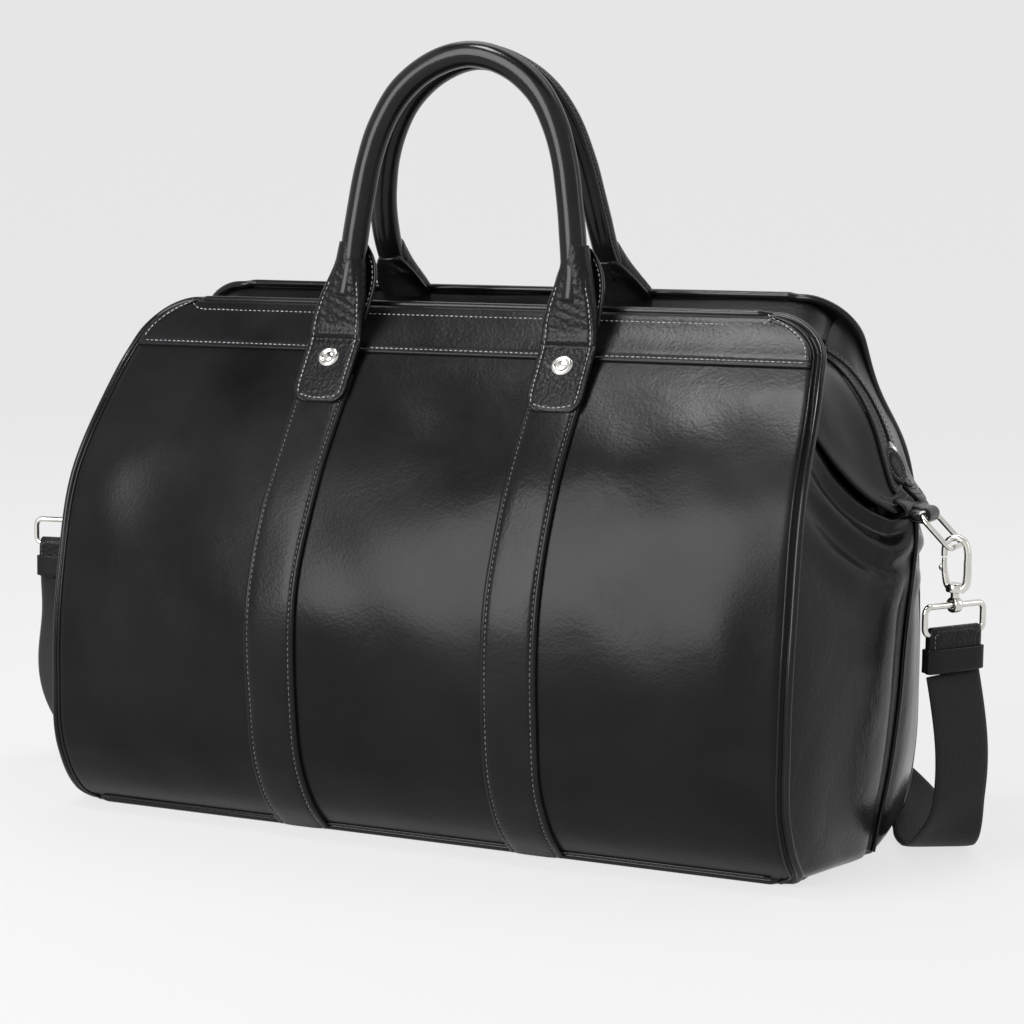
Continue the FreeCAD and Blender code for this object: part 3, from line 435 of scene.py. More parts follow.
HIDE = leather("hide", (0.0032, 0.0032, 0.0036), 0.24, 0.34, 620, 0.10, 0.0, 0.08)
HIDE_END = leather("hide_end", (0.004, 0.004, 0.0045), 0.22, 0.34, 520, 0.2, 0.03, 0.2)
STRAP_HIDE = leather("strap_hide", (0.004, 0.004, 0.0045), 0.23, 0.35, 560, 0.16, 0.03, 0.08)
GRIP_HIDE = leather("grip_hide", (0.004, 0.004, 0.0045), 0.18, 0.32, 700, 0.06, 0.2, 0.05)
PEBBLE_HIDE = leather("pebble_hide", (0.004, 0.004, 0.0045), 0.27, 0.38, 520, 0.9, 0.04, 0.12)
CORD_HIDE = leather("cord_hide", (0.004, 0.004, 0.0045), 0.20, 0.32, 700, 0.05, 0.2, 0.04)
THREAD = cloth("thread", (0.30, 0.30, 0.31), 900, 0.6, 0.1)
DARK_THREAD = cloth("dark_thread", (0.10, 0.10, 0.105), 900, 0.6, 0.1)
LINING = cloth("lining_cloth", (0.03, 0.031, 0.036), 500, 0.9, 0.4)
TAPE = cloth("tape_cloth", (0.012, 0.012, 0.013), 600, 0.9, 0.2)
ROPE = cloth("rope_core", (0.42, 0.37, 0.28), 300, 0.95, 0.2)
NICKEL = metal("nickel", (0.72, 0.70, 0.66), 0.14)
STEEL = metal("stay_steel", (0.46, 0.46, 0.48), 0.3, 0.1, 90)
ZIP_METAL = metal("zip_metal", (0.30, 0.30, 0.31), 0.28, 0.05, 120)


BOARD = board_material()
WEBBING = webbing_material()

# ---- shoulder strap webbing -----------------------------------------------------------------
ROUTE = [
    (272.3, 0, 103.7),
    (277, -1, 82),
    (280, -2, 56),
    (277.5, 1, 30),
    (266, 14, 4),
    (250, 43, 1.7),
    (241, 72, 1.7),
    (229, 100, 3),
    (205, 124, 10.5),
    (172, 145, 18.5),
    (128, 162, 20),
    (75, 164, 20),
    (20, 156, 20.8),
    (-35, 153, 21.6),
    (-90, 158, 20.8),
    (-145, 166, 20),
    (-195, 162, 20),
    (-236, 142, 18.2),
    (-262, 110, 11),
    (-277, 76, 4.2),
    (-287, 46, 1.7),
    (-294, 22, 7),
    (-301, 9, 24),
    (-305, 1, 50),
    (-301, 0, 82),
    (-291.2, 0, 115),
]
# Degrees that the strap's width is turned up from the floor at each point of the route.
TURNED_UP = [0] * 7 + [5, 30, 68] + [90] * 7 + [65, 30, 8] + [0] * 6
STRAP_WIDTH, STRAP_THICK = 38 * MM, 2.4 * MM
STRAP_TURN_RIGHT, STRAP_TURN_LEFT = 60, 10


def route_line():
    """The smooth line that the strap follows, as Blender draws it."""
    curve = bpy.data.curves.new("strap_line", "CURVE")
    curve.dimensions = "3D"
    curve.resolution_u = 12
    spline = curve.splines.new("NURBS")
    spline.points.add(len(ROUTE) - 1)
    for point, spot in zip(spline.points, ROUTE):
        point.co = (*[c * MM for c in spot], 1)
    spline.order_u = 3
    spline.use_endpoint_u = True
    bare = bpy.data.objects.new("strap_line", curve)
    mesh = bpy.data.meshes.new_from_object(bare)
    line = [v.co.copy() for v in mesh.vertices]
    bpy.data.objects.remove(bare)
    bpy.data.meshes.remove(mesh)
    return line


def make_webbing():
    p = np.array([tuple(v) for v in route_line()])
    along = unit_rows(np.gradient(p, axis=0))
    share = np.linspace(0, len(ROUTE) - 1, len(p))
    roll = np.radians(np.interp(share, range(len(ROUTE)), TURNED_UP))
    wides, previous = [], None
    ends = {0: STRAP_TURN_RIGHT, len(p) - 1: STRAP_TURN_LEFT}
    for i, a in enumerate(along):
        a = Vector(a)
        if i in ends:
            turn = math.radians(ends[i])
            wide = Vector((math.cos(turn), math.sin(turn), 0))
            wide -= a * wide.dot(a)
            if previous is not None and wide.dot(previous) < 0:
                wide = -wide
        else:
            level = Vector((0, 0, 1)).cross(a)
            wide = previous - a * previous.dot(a)
            if level.length > 0.5:
                level = level.normalized()
                if level.dot(previous) < 0:
                    level = -level
                up = (Vector((0, 0, 1)) - a * a.z).normalized()
                wide = level * math.cos(roll[i]) + up * math.sin(roll[i])
        previous = wide.normalized()
        wides.append(previous)
    wide = np.array([tuple(w) for w in wides])
    # The width turns gently from the right end's facing to that of the bend at the floor.
    for _ in range(30):
        wide[1:-1] = unit_rows(0.25 * wide[:-2] + 0.5 * wide[1:-1] + 0.25 * wide[2:])
    wide = unit_rows(wide - along * np.sum(wide * along, axis=1, keepdims=True))
    face = np.cross(along, wide)
    half, thick = STRAP_WIDTH / 2, STRAP_THICK / 2
    across = np.linspace(-1, 1, 15)
    section = [(a * half, thick * (1 - 0.45 * a**8)) for a in across]
    section += [(a * half, -thick * (1 - 0.45 * a**8)) for a in across[::-1]]
    section = np.array(section)
    ring = (
        p[:, None, :]
        + wide[:, None, :] * section[None, :, 0:1]
        + face[:, None, :] * section[None, :, 1:2]
    )
    ring[:, :, 2] = np.maximum(ring[:, :, 2], 0.25 * MM)
    build = Build()
    build.grid(ring, around=True, caps=True)
    webbing = build.object("webbing_strap", WEBBING)
    layout = webbing.data.uv_layers.new(name="weave")
    reach = reach_of(p)
    count = len(section)
    for loop in webbing.data.loops:
        row, col = divmod(loop.vertex_index, count)
        layout.data[loop.index].uv = (float(section[col][0]), float(reach[row]))
    return webbing, p


webbing, strap_p = make_webbing()
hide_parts("strap_webbing")
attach(webbing, "bag")

# ---- the bag's skin -------------------------------------------------------------------------
ALONG_X, UP = np.array([1.0, 0, 0]), np.array([0, 0, 1.0])
HEIGHTS = [2.2, 14, 35, 80, 140, 200, 250, 280, 291]
EDGE_X = smooth_line(HEIGHTS, [220, 219.6, 219.1, 219.0, 218.9, 217.3, 213.2, 206.8, 204])
EDGE_Y = smooth_line(HEIGHTS, [88, 101.0, 114.0, 118.6, 113.4, 98.4, 65.1, 38.4, 31])
BULGE = smooth_line(HEIGHTS, [0, 0.5, 2, 9, 13, 1.5, 0, 0.8, 0])
_z = np.linspace(2.2, 291, 1200)
_run = reach_of(np.stack([_z, EDGE_Y(_z)], axis=1))
TOP = float(_run[-1])
TOP_CORNER, LOW_CORNER = 28.0, 11.0


def z_at(w):
    return np.interp(w, _run, _z)


def w_at(z):
    return np.interp(z, _z, _run)


def half_length(w):
    """Half the panel's length at a distance w up its profile, with its rounded corners."""
    w = np.asarray(w, float)
    high = np.clip(w - (TOP - TOP_CORNER), 0, TOP_CORNER)
    low = np.clip(LOW_CORNER - w, 0, LOW_CORNER)
    return (
        EDGE_X(z_at(w))
        - (TOP_CORNER - np.sqrt(np.maximum(TOP_CORNER**2 - high**2, 0)))
        - (LOW_CORNER - np.sqrt(np.maximum(LOW_CORNER**2 - low**2, 0)))
    )


def dents(x, w, side):
    """Soft waves of a used hide, in millimetres; quiet at the edges and the yoke."""
    s = 1.0 if side < 0 else -1.0
    u, v = x * s / 100, w / 100
    wave = (
        0.9 * np.sin(2.3 * u + 1.7 * v + 0.4)
        + 0.7 * np.sin(-3.1 * u + 4.3 * v + 1.9 * np.sin(1.3 * u))
        + 0.55 * np.sin(6.1 * u + 2.9 * v + 2.2)
        + 0.4 * np.sin(7.7 * v - 4.9 * u + 1.1 + np.sin(3.1 * v))
        + 0.28 * np.sin(11.3 * u + 9.1 * v)
    )
    # Two leaning hollows below the yoke, where the hide hangs from the handles.
    for cx, cw, ax, aw, tilt, deep in (
        (172, 236, 30, 60, 0.30, -1.6),
        (-150, 225, 34, 54, -0.3, -2.0),
        (10, 236, 40, 40, 0.0, -1.2),
        (185, 150, 18, 70, 0.1, 1.6),
        (-188, 140, 18, 80, 0.0, 1.4),
    ):
        du, dw = (x * s - cx), (w - cw)
        du = du + tilt * dw
        wave = wave + deep * np.exp(-((du / ax) ** 2) - (dw / aw) ** 2)
    fade_x = ease((half_length(w) - np.abs(x) - 3) / 32)
    fade_w = ease(w / 60) * (0.22 + 0.78 * ease((w_at(262) - w) / 34))
    return 0.62 * wave * fade_x * fade_w


def depth(x, w, side):
    z = z_at(w)
    half = np.maximum(half_length(w), 1)
    inside = np.clip(1 - np.abs(x / half) ** 2.3, 0, 1)
    rolled = 2.4 * (1 - ease((half - np.abs(x)) / 7.0)) ** 2
    return EDGE_Y(z) + BULGE(z) * inside + dents(x, w, side) - rolled


def lean_back(p):
    """The bag as it stands: its back a little steeper, higher and further left than its front."""
    x, y, z = p[..., 0], p[..., 1], p[..., 2]
    q = np.array(p, float)
    high = np.exp(-(((z - 250) / 24) ** 2))
    # The far corners of the ears' ends stand up and out a little.
    tip = np.exp(-(((z - 195) / 20) ** 2)) * ease((np.abs(x) - 228) / 18) * np.clip(y / 20, 0, 1)
    top = ease((z - 215) / 70) * np.clip(y / 29, 0, 1)
    q[..., 0] = x * (1 - 0.012 * high * np.clip(y / 29, 0, 1)) + np.sign(x) * 3.0 * tip - 4 * top
    q[..., 1] = y * (1 - 0.22 * high)
    q[..., 2] = z + 8.5 * top + 3.5 * tip
    # The front's left edge is drawn in a little below the yoke.
    drawn_in = 2.6 * np.exp(-(((z - 238) / 32) ** 2)) * ease((-x - 150) / 60) * (y < 0)
    return np.where(y[..., None] > 0, q, p) + ALONG_X * drawn_in[..., None]


def skin(x, w, side, lift=0.0):
    """A point of the front (-1) or back (1) panel, lifted off it by some millimetres."""
    x, w = np.broadcast_arrays(np.asarray(x, float), np.asarray(w, float))

    def spot(x, w):
        return lean_back(np.stack([x, side * depth(x, w, side), z_at(w)], axis=-1))

    here = spot(x, w)
    if np.any(np.asarray(lift) != 0):
        across = spot(x + 0.5, w) - spot(x - 0.5, w)
        up = spot(x, np.minimum(w + 0.5, TOP)) - spot(x, np.maximum(w - 0.5, 0))
        normal = unit_rows(np.cross(across, up)) * (-side)
        here = here + normal * np.asarray(lift)[..., None]
    return here


def skin_normal(x, w, side):
    return unit_rows(skin(x, w, side, 1.0) - skin(x, w, side, 0.0))


FRAMES = {-1: "front_frame", 1: "back_frame"}
SIDES = {-1: "front", 1: "back"}


def bend_with_frame(thing):
    """Bakes the piece's placement into its mesh; it is not tied to the bag or the frame."""
    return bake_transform(thing)


def panel_rows():
    return np.unique(
        np.concatenate(
            [
                np.linspace(0, LOW_CORNER, 9),
                np.linspace(LOW_CORNER, TOP - TOP_CORNER, 92),
                np.linspace(TOP - TOP_CORNER, TOP, 16),
            ]
        )
    )


def panel_cols(count=120):
    t = np.linspace(-1, 1, count)
    return np.sign(t) * (1 - (1 - np.abs(t)) ** 1.25)


def make_panel(side):
    w = panel_rows()[:, None]
    s = panel_cols()[None, :]
    x = s * half_length(w)
    build = Build()
    build.plate(skin(x, w + 0 * s, side) * MM, skin(x * 0.997, w + 0 * s, side, -2.0) * MM)
    panel = build.object(f"{SIDES[side]}_hide", HIDE)
    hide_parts(f"{SIDES[side]}_panel_lower", f"{SIDES[side]}_panel_upper")
    bend_with_frame(panel)


def rim_path(side, out=0.6, step=2.2):
    """Points and w values right round the panel's edge."""
    ws = np.concatenate(
        [
            np.linspace(0, LOW_CORNER, 8)[:-1],
            np.arange(LOW_CORNER, TOP - TOP_CORNER, step),
            TOP - TOP_CORNER + TOP_CORNER * np.sin(np.linspace(0, math.pi / 2, 18)),
        ]
    )
    right = np.stack([half_length(ws) + out, ws], axis=1)
    left = right[::-1] * [-1, 1]
    top = np.linspace(right[-1][0], left[0][0], 150)[1:-1]
    top = np.stack([top, np.full(len(top), TOP)], axis=1)
    low = np.linspace(left[-1][0], right[0][0], 150)[1:-1]
    low = np.stack([low, np.zeros(len(low))], axis=1)
    return np.concatenate([right, top, left, low])


def rim_points(side, out=0.6, lift=0.0):
    path = rim_path(side, 0.0)
    points = skin(path[:, 0], path[:, 1], side, lift)
    rising = np.roll(points, -1, axis=0) - np.roll(points, 1, axis=0)
    normal = skin_normal(path[:, 0] * 0.995, path[:, 1], side)
    outward = unit_rows(np.cross(rising, normal)) * (-1 if side > 0 else 1)
    middle = np.array([0, side * 90.0, 150.0])
    flip = np.sign(np.sum(outward * (points - middle), axis=1, keepdims=True))
    return points + outward * np.where(flip == 0, 1, flip) * out


def make_piping(side):
    """A leather-covered cord round the panel with the raised edge of its seam beside it."""
    cord = rim_points(side, 0.9, -0.4)
    ridge = rim_points(side, -3.6, 0.35)
    build = Build()
    build.tube(cord * MM, 2.15 * MM, 12, closed=True)
    build.tube(ridge * MM, 0.75 * MM, 8, closed=True)
    piping = build.object(f"{SIDES[side]}_edge_cord", CORD_HIDE)
    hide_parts(f"{SIDES[side]}_piping_lower", f"{SIDES[side]}_piping_upper")
    bend_with_frame(piping)


def ribbon_section(width, thick, groove=3.0):
    """(across, lift) points of a turned-edge strap with a sunk stitch line near each edge."""
    h = width / 2
    half = [
        (-h, -0.6), (-h, thick - 1.3), (-h + 0.25, thick - 0.5), (-h + 0.9, thick - 0.05),
        (-h + 1.7, thick + 0.1), (-h + groove - 0.5, thick), (-h + groove, thick - 0.35),
        (-h + groove + 0.6, thick), (-h + groove + 2.5, thick + 0.25), (-h * 0.4, thick + 0.4),
    ]
    return half + [(-across, lift) for across, lift in half[::-1]]


STRAP_X, STRAP_HALF = 71.2, 15.8


def make_straps(side):
    build, threads = Build(), Build()
    ws = np.linspace(0.5, w_at(252), 130)
    section = np.array(ribbon_section(2 * STRAP_HALF, 2.6))
    for sign in (-1, 1):
        # The straps stand a little askew, as hand-sewn ones do.
        sway = sign * STRAP_X + 0.6 * np.sin(ws / 70 + sign)
        x = sway[:, None] + section[None, :, 0]
        p = skin(x, ws[:, None] + 0 * x, side, section[None, :, 1] + 0 * x)
        build.grid(p * MM, around=True, caps=True)
        for edge in (-1, 1):
            x = sway + edge * (STRAP_HALF - 3.0)
            threads.stitches(skin(x, ws, side, 2.3) * MM, skin_normal(x, ws, side), 3.1 * MM)
    straps = build.object(f"{SIDES[side]}_sewn_straps", STRAP_HIDE)
    soften(straps, 60)
    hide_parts(f"{SIDES[side]}_straps")
    bend_with_frame(straps)
    sewing = threads.object(f"{SIDES[side]}_strap_stitches", DARK_THREAD)
    bend_with_frame(sewing)


YOKE_LOW, YOKE_INSET = 264.5, 4.4


def make_yoke(side):
    """The band along the top edge, its lower edge turned under and sewn."""
    w0 = float(w_at(YOKE_LOW))
    rise = [
        (0.0, -0.5), (0.0, 0.9), (0.4, 1.5), (1.2, 1.75), (2.4, 1.6), (3.0, 1.3), (3.6, 1.6), (6, 1.8)
    ]
    rows = [(w0 + a, b) for a, b in rise]
    rows += [(w, 1.8) for w in np.linspace(w0 + 9, TOP - 3.5, 10)]
    rows += [(TOP - 1.6, 1.4), (TOP - 0.2, 0.2)]
    s = panel_cols(130)
    grid = []
    for w, lift in rows:
        half = float(half_length(min(w, TOP - 0.2))) - YOKE_INSET
        if w > TOP - TOP_CORNER:
            inner = TOP_CORNER - YOKE_INSET
            high = min(w - (TOP - TOP_CORNER), inner)
            rounding = inner - math.sqrt(max(inner**2 - high**2, 0))
            half = float(EDGE_X(z_at(w))) - YOKE_INSET - rounding
        grid.append(skin(s * half, np.full(len(s), w), side, lift))
    grid = np.array(grid)
    under = grid.copy()
    for i, (w, lift) in enumerate(rows):
        under[i] = skin(grid[i][:, 0], np.full(len(s), w), side, min(lift, -0.4) - 0.2)
    build = Build()
    build.plate(grid * MM, under * MM)
    yoke = build.object(f"{SIDES[side]}_top_band", STRAP_HIDE)
    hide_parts(f"{SIDES[side]}_yoke")
    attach(yoke, FRAMES[side])
    threads = Build()
    x = np.linspace(-1, 1, 160) * (float(half_length(w0 + 3)) - 8)
    row = np.full(len(x), w0 + 3.0)
    keepout = np.abs(np.abs(x) - STRAP_X) > 18
    for part in (x < -STRAP_X, (x > -STRAP_X) & (x < STRAP_X), x > STRAP_X):
        use = part & keepout
        points = skin(x[use], row[use], side, 1.35)
        threads.stitches(points * MM, skin_normal(x[use], row[use], side))
    # A second row follows the piping round the corners and along the top edge.
    path = rim_path(side)
    keep = path[:, 1] > w0 + 4
    points = rim_points(side, -7.5, 1.6)[keep]
    normals = skin_normal(path[:, 0] * 0.96, path[:, 1], side)[keep]
    threads.stitches(points * MM, normals)
    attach(threads.object(f"{SIDES[side]}_band_stitches", THREAD), FRAMES[side])


for side in (-1, 1):
    make_panel(side)
    make_piping(side)
    make_straps(side)
    make_yoke(side)

# ---- handles and the leather that joins them to the bag --------------------------------------
# Distance along each handle's own line and the middle line's (x, y, z), right half.
HANDLE_LINES = {
    -1: [
        (69.0, -51.6, 296), (68.0, -50.6, 311), (66.2, -49.3, 330), (63.4, -47.9, 350),
        (59.6, -46.5, 371), (53.0, -45.1, 391), (41.8, -43.7, 409.3), (24.5, -42.9, 422.8),
        (9, -42.6, 428.4), (0, -42.6, 429.4),
    ],
    1: [
        (68.6, 12.5, 311), (67.6, 0.5, 326), (66.6, -6.5, 340), (64.5, -12.0, 356),
        (61.0, -15.6, 372), (54.0, -18.4, 391), (43.0, -20.2, 408), (25.5, -21.6, 421.8),
        (9, -22.2, 428.2), (0, -22.3, 429.2),
    ],
}
# The chape's middle line from its sewn foot, past the rivet and the hinge fold, to the handle.
CHAPE_LINES = {
    -1: [
        (-77.4, 238.0), (-70.5, 250), (-62.6, 262), (-57.2, 270.5), (-54.6, 278), (-53.2, 288),
        (-51.8, 300), (-50.2, 315), (-49.5, 326),
    ],
    1: [
        (66.5, 238.0), (60.5, 250), (56.8, 262), (53.0, 272), (47.2, 282), (39.6, 292),
        (29.5, 301), (15.5, 313), (4.0, 324),
    ],
}
TUBE, RIVET_Z = 7.3, 261.5
# The front handle leans a little to the right of the bag's middle.
SWAY = {-1: 3.6, 1: 0.0}


def swayed(line, side):
    return line + ALONG_X * (SWAY[side] * ease((line[:, 2:3] - 276) / 40))


HINGES = {-1: (-0.053, 0.274), 1: (0.056, 0.276)}
HANDLE_BODIES = {-1: "front_handle", 1: "back_handle"}


def make_handle(side):
    half = HANDLE_LINES[side]
    line = swayed(smooth_points(half + [(-x, y, z) for x, y, z in half[-2::-1]], 170), side)
    turn = np.linspace(0, 2 * math.pi, 37)[:-1]
    seam = math.radians(160 if side < 0 else -50)
    gap = np.abs((turn - seam + math.pi) % (2 * math.pi) - math.pi)
    ridge, dip = np.exp(-((gap / 0.16) ** 2)), np.exp(-(((gap - 0.36) / 0.12) ** 2))
    radius = TUBE * (1 + 0.13 * ridge - 0.05 * dip)
    # The wrapped hide is a touch uneven along its length.
    share = np.linspace(0, 1, len(line))
    swell = 1 + 0.012 * np.sin(23 * share) + 0.008 * np.sin(71 * share)
    section = np.stack([np.cos(turn) * radius, np.sin(turn) * radius], axis=1)
    sections = section[None, :, :] * swell[:, None, None]
    normal = np.array([0.0, -1.0, 0.0])
    build, threads = Build(), Build()
    build.sweep(line * MM, sections * MM, normal)
    handle = build.object(f"{SIDES[side]}_grip", GRIP_HIDE)
    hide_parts(f"{SIDES[side]}_handle_skin")
    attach(handle, HANDLE_BODIES[side])
    # A three-strand rope fills the grip.
    laid = np.arange(len(line))[:, None] * 0.22
    lobes = 4.25 + 0.4 * np.cos(3 * (turn[None, :] + laid))
    strands = np.stack([np.cos(turn) * lobes, np.sin(turn) * lobes], axis=2)
    core = Build()
    core.sweep(line * MM, strands * MM, normal)
    rope = core.object(f"{SIDES[side]}_rope", ROPE)
    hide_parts(f"{SIDES[side]}_handle_core")
    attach(rope, HANDLE_BODIES[side])
    along = unit_rows(np.gradient(line, axis=0))
    across = unit_rows(normal - along * np.sum(normal * along, axis=1, keepdims=True))
    outward = np.cross(across, along)
    a = seam - 0.4
    facing = across * math.cos(a) + outward * math.sin(a)
    threads.stitches((line + facing * TUBE * 0.985) * MM, facing, 2.9 * MM, 1.9 * MM, 0.26 * MM)
    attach(threads.object(f"{SIDES[side]}_grip_stitches", DARK_THREAD), HANDLE_BODIES[side])


def squircle(half_a, half_b, power, turn):
    c, s = np.cos(turn), np.sin(turn)
    return np.stack(
        [half * np.sign(v) * np.abs(v) ** (2 / power) for half, v in ((half_a, c), (half_b, s))],
        axis=-1,
    )


def chape_shape(t):
    """Half width, half thickness and squareness at a share of the chape's length."""
    wide = np.interp(
        t,
        [0, 0.012, 0.03, 0.06, 0.10, 0.42, 0.55, 0.66, 0.78, 0.90, 1.0],
        [9.5, 12.2, 14.2, 15.8, 16.4, 16.4, 15.8, 14.0, 11.0, 8.5, 7.4],
    )
    thick = np.interp(
        t, [0, 0.03, 0.42, 0.5, 0.62, 0.78, 0.90, 1.0], [1.2, 1.7, 1.9, 2.9, 4.6, 6.8, 7.6, 7.4]
    )
    power = np.interp(t, [0, 0.42, 0.62, 0.85, 1.0], [7, 6, 3.6, 2.2, 2.0])
    return wide, thick, power


# Pitch, length and radius of the chapes' heavier stitches.
CHAPE_THREAD = (2.9 * MM, 2.0 * MM, 0.34 * MM)


def make_chapes(side):
    leather_parts, flaps, threads = Build(), Build(), Build()
    line = smooth_points(CHAPE_LINES[side], 120)
    count = len(line)
    t = np.linspace(0, 1, count)
    wide, thick, power = chape_shape(t)
    turn = np.linspace(0, 2 * math.pi, 65)[:-1]
    for sign in (-1, 1):
        x = sign * np.interp(t, [0, 0.5, 1], [STRAP_X, STRAP_X, HANDLE_LINES[side][1][0]])
        path = swayed(np.stack([x, line[:, 0], line[:, 1]], axis=1), side)
        across = np.array([1.0 if side < 0 else -1.0, 0, 0])
        sections = np.array([squircle(a, b, p, turn) for a, b, p in zip(wide, thick, power)])
        a, b = sections[:, :, 0], sections[:, :, 1]
        outer = np.clip(np.sin(turn), 0, 1)[None, :]
        # A fold across the chape above its rivet, and gathers that run up into the handle.
        z = line[:, 1][:, None]
        fold = 0.7 * np.exp(-(((z - 274.8) / 2.0) ** 2)) - np.exp(-(((z - 271.5) / 1.3) ** 2))
        gather = ease((z - 276) / 10) * (1 - ease((z - 306) / 12))
        ribs = 0.12 * np.sin(a * 1.15 + sign + 0.05 * z) + 0.10 * np.sin(z * 1.3 + a * 0.35)
        dimple = -np.exp(-((a**2 + (z - RIVET_Z) ** 2) / 42.0))
        groove = -0.5 * np.exp(-(((np.abs(a) - (wide[:, None] - 3.0)) / 0.6) ** 2)) * (z < 312)
        b = b + outer * (fold + ribs * gather + dimple + groove)
        sections = np.stack([a, b], axis=2)
        leather_parts.sweep(path * MM, sections * MM, across)
        # Stitch rows up both sides and round the foot.
        along = unit_rows(np.gradient(path, axis=0))
        face = np.cross(np.broadcast_to(across, along.shape), along)
        inset = wide - 3.0
        for edge in (-1, 1):
            use = (t > 0.045) & (line[:, 1] < 304)
            rows = path + ALONG_X * (edge * inset)[:, None]
            lift = thick * (1 - (inset / wide) ** power) ** (1 / power)
            rows = rows + face * (lift - 0.15)[:, None]
            threads.stitches(rows[use] * MM, face[use], *CHAPE_THREAD)
        foot = np.linspace(-1, 1, 24)
        k = int(0.045 * count)
        drop = 2.0 * (1 - foot**2)
        rows = path[k] + ALONG_X * (foot * (inset[k] - 0.4))[:, None] - along[k] * drop[:, None]
        rows = rows + face[k] * (thick[k] - 0.1)
        threads.stitches(rows * MM, np.broadcast_to(face[k], rows.shape), *CHAPE_THREAD)
        # A leaf-shaped flap backs the foot of the handle on its inner side.
        lo, hi = int(0.40 * count), count - 2
        steps = np.linspace(lo, hi, 34)
        leaf_line = read_off(steps, range(count), path)
        leaf_face = unit_rows(read_off(steps, range(count), face))
        leaf_thick = np.interp(steps, range(count), thick)
        share = np.linspace(0, 1, len(steps))
        widths = smooth_line([0, 0.35, 0.6, 0.8, 0.93, 1.0], [14.8, 15.6, 15.0, 12.4, 8.8, 6.0])
        leaf_wide = widths(share)
        u = np.linspace(-1, 1, 17)
        outer_grid, inner_grid = [], []
        for c, f, h, w in zip(leaf_line, leaf_face, leaf_thick, leaf_wide):
            back = -(h + 0.6) + 2.2 * np.abs(u) ** 3
            row = c + ALONG_X * (u * w)[:, None] + f * back[:, None]
            outer_grid.append(row)
            inner_grid.append(row - f * 1.7)
        flaps.plate(np.array(outer_grid) * MM, np.array(inner_grid) * MM)
        for edge in (-1, 1):
            rows = leaf_line + ALONG_X * (edge * (leaf_wide - 2.4))[:, None]
            rows = (rows - leaf_face * (leaf_thick - 0.9)[:, None])[2:-3]
            threads.stitches(rows * MM, leaf_face[2:-3], 2.9 * MM, 2.0 * MM, 0.3 * MM)
    name = SIDES[side]
    chapes = leather_parts.object(f"{name}_handle_chapes", PEBBLE_HIDE)
    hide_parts(f"{name}_chapes", f"{name}_handle_flares")
    y, z = HINGES[side]
    start, end = (0, y + side * 0.004, z - 0.007), (0, y - side * 0.004, z + 0.007)
    for thing in (
        chapes,
        flaps.object(f"{name}_chape_backs", GRIP_HIDE),
        threads.object(f"{name}_chape_stitches", THREAD),
    ):
        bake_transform(thing)
        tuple(start)
        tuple(end)


def make_rivets(side):
    """Polished domed rivets with a stepped hollow in the middle, one in each chape."""
    build = Build()
    name = f"{SIDES[side]}_rivets"
    line = smooth_points(CHAPE_LINES[side], 120)
    k = int(np.argmin(np.abs(line[:, 1] - RIVET_Z)))
    step = line[k + 1] - line[k - 1]
    face = unit_rows(np.array([0, side * step[1], -side * step[0]]))
    profile = [
        (-2.5, 3.0), (-0.4, 3.0), (-0.3, 6.2), (0.35, 6.35), (1.0, 5.9), (1.45, 5.1), (1.6, 4.4),
        (1.35, 3.9), (0.95, 3.6), (0.85, 2.9), (1.05, 2.3), (1.2, 1.2), (1.25, 0.05),
    ]
    for sign in (-1, 1):
        centre = np.array([sign * STRAP_X, line[k][0], line[k][1]]) + face * 1.3
        build.lathe([(h * MM, r * MM) for h, r in profile], centre * MM, Vector(face))
    rivets = soften(build.object(f"{SIDES[side]}_domed_rivets", NICKEL), 50)
    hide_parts(name)
    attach(rivets, FRAMES[side])


for side in (-1, 1):
    make_handle(side)
    make_chapes(side)
    make_rivets(side)

# ---- end walls and ears -----------------------------------------------------------------------
CENTRE_X = smooth_line(
    [0, 20, 39, 86, 119, 150, 179, 190], [231, 234.5, 238, 243.5, 245.5, 248.5, 251, 251]
)
ZIP_END = [
    (249.5, 194.5), (241, 202.5), (235, 217), (229.5, 233), (221, 249), (210, 262), (196, 271.2)
]
EAR_RISE = 235.0
EAR_TOP_Z = 281.0
WALL_FOOT = 0.6
# Pleats below the ear's fold: place up the wall, width, depth, slope.
PLEATS = (
    (0.955, 0.022, -5.0, 0.0), (0.90, 0.028, 3.0, 0.02), (0.845, 0.026, -3.0, 0.03),
    (0.78, 0.04, 1.6, 0.05), (0.70, 0.05, -0.8, 0.05),
)


def edge_spot(z):
    """A point on the seam between panel and end wall, front half, as (x, depth, z)."""
    w = w_at(z)
    x, y = half_length(w) + 0.2, EDGE_Y(z_at(w)) - 0.8
    return np.stack([x, y, np.asarray(z, float) + 0 * w], axis=-1)


_fold_points = smooth_points(
    [
        edge_spot(EAR_RISE), (227.0, 57.5, 213.0), (240.5, 34.0, 195.0), (247.5, 21.5, 189.8),
        (250.4, 10.0, 191.5), (251.0, 0.0, 194.5),
    ],
    90,
)


def fold_line(a):
    """The crease from the panel's seam down to the ear's corner, then along the ear's end."""
    return read_off(np.asarray(a, float), np.linspace(0, 1, 90), _fold_points)


def patch(low, high, left, right, a, k):
    """A surface between four edge lines: low and high run along a, left and right along k."""
    p00, p10, p01, p11 = low(0.0), low(1.0), high(0.0), high(1.0)
    A, K = a[..., None], k[..., None]
    return (
        (1 - K) * low(a) + K * high(a) + (1 - A) * left(k) + A * right(k)
        - ((1 - A) * (1 - K) * p00 + A * (1 - K) * p10 + (1 - A) * K * p01 + A * K * p11)
    )


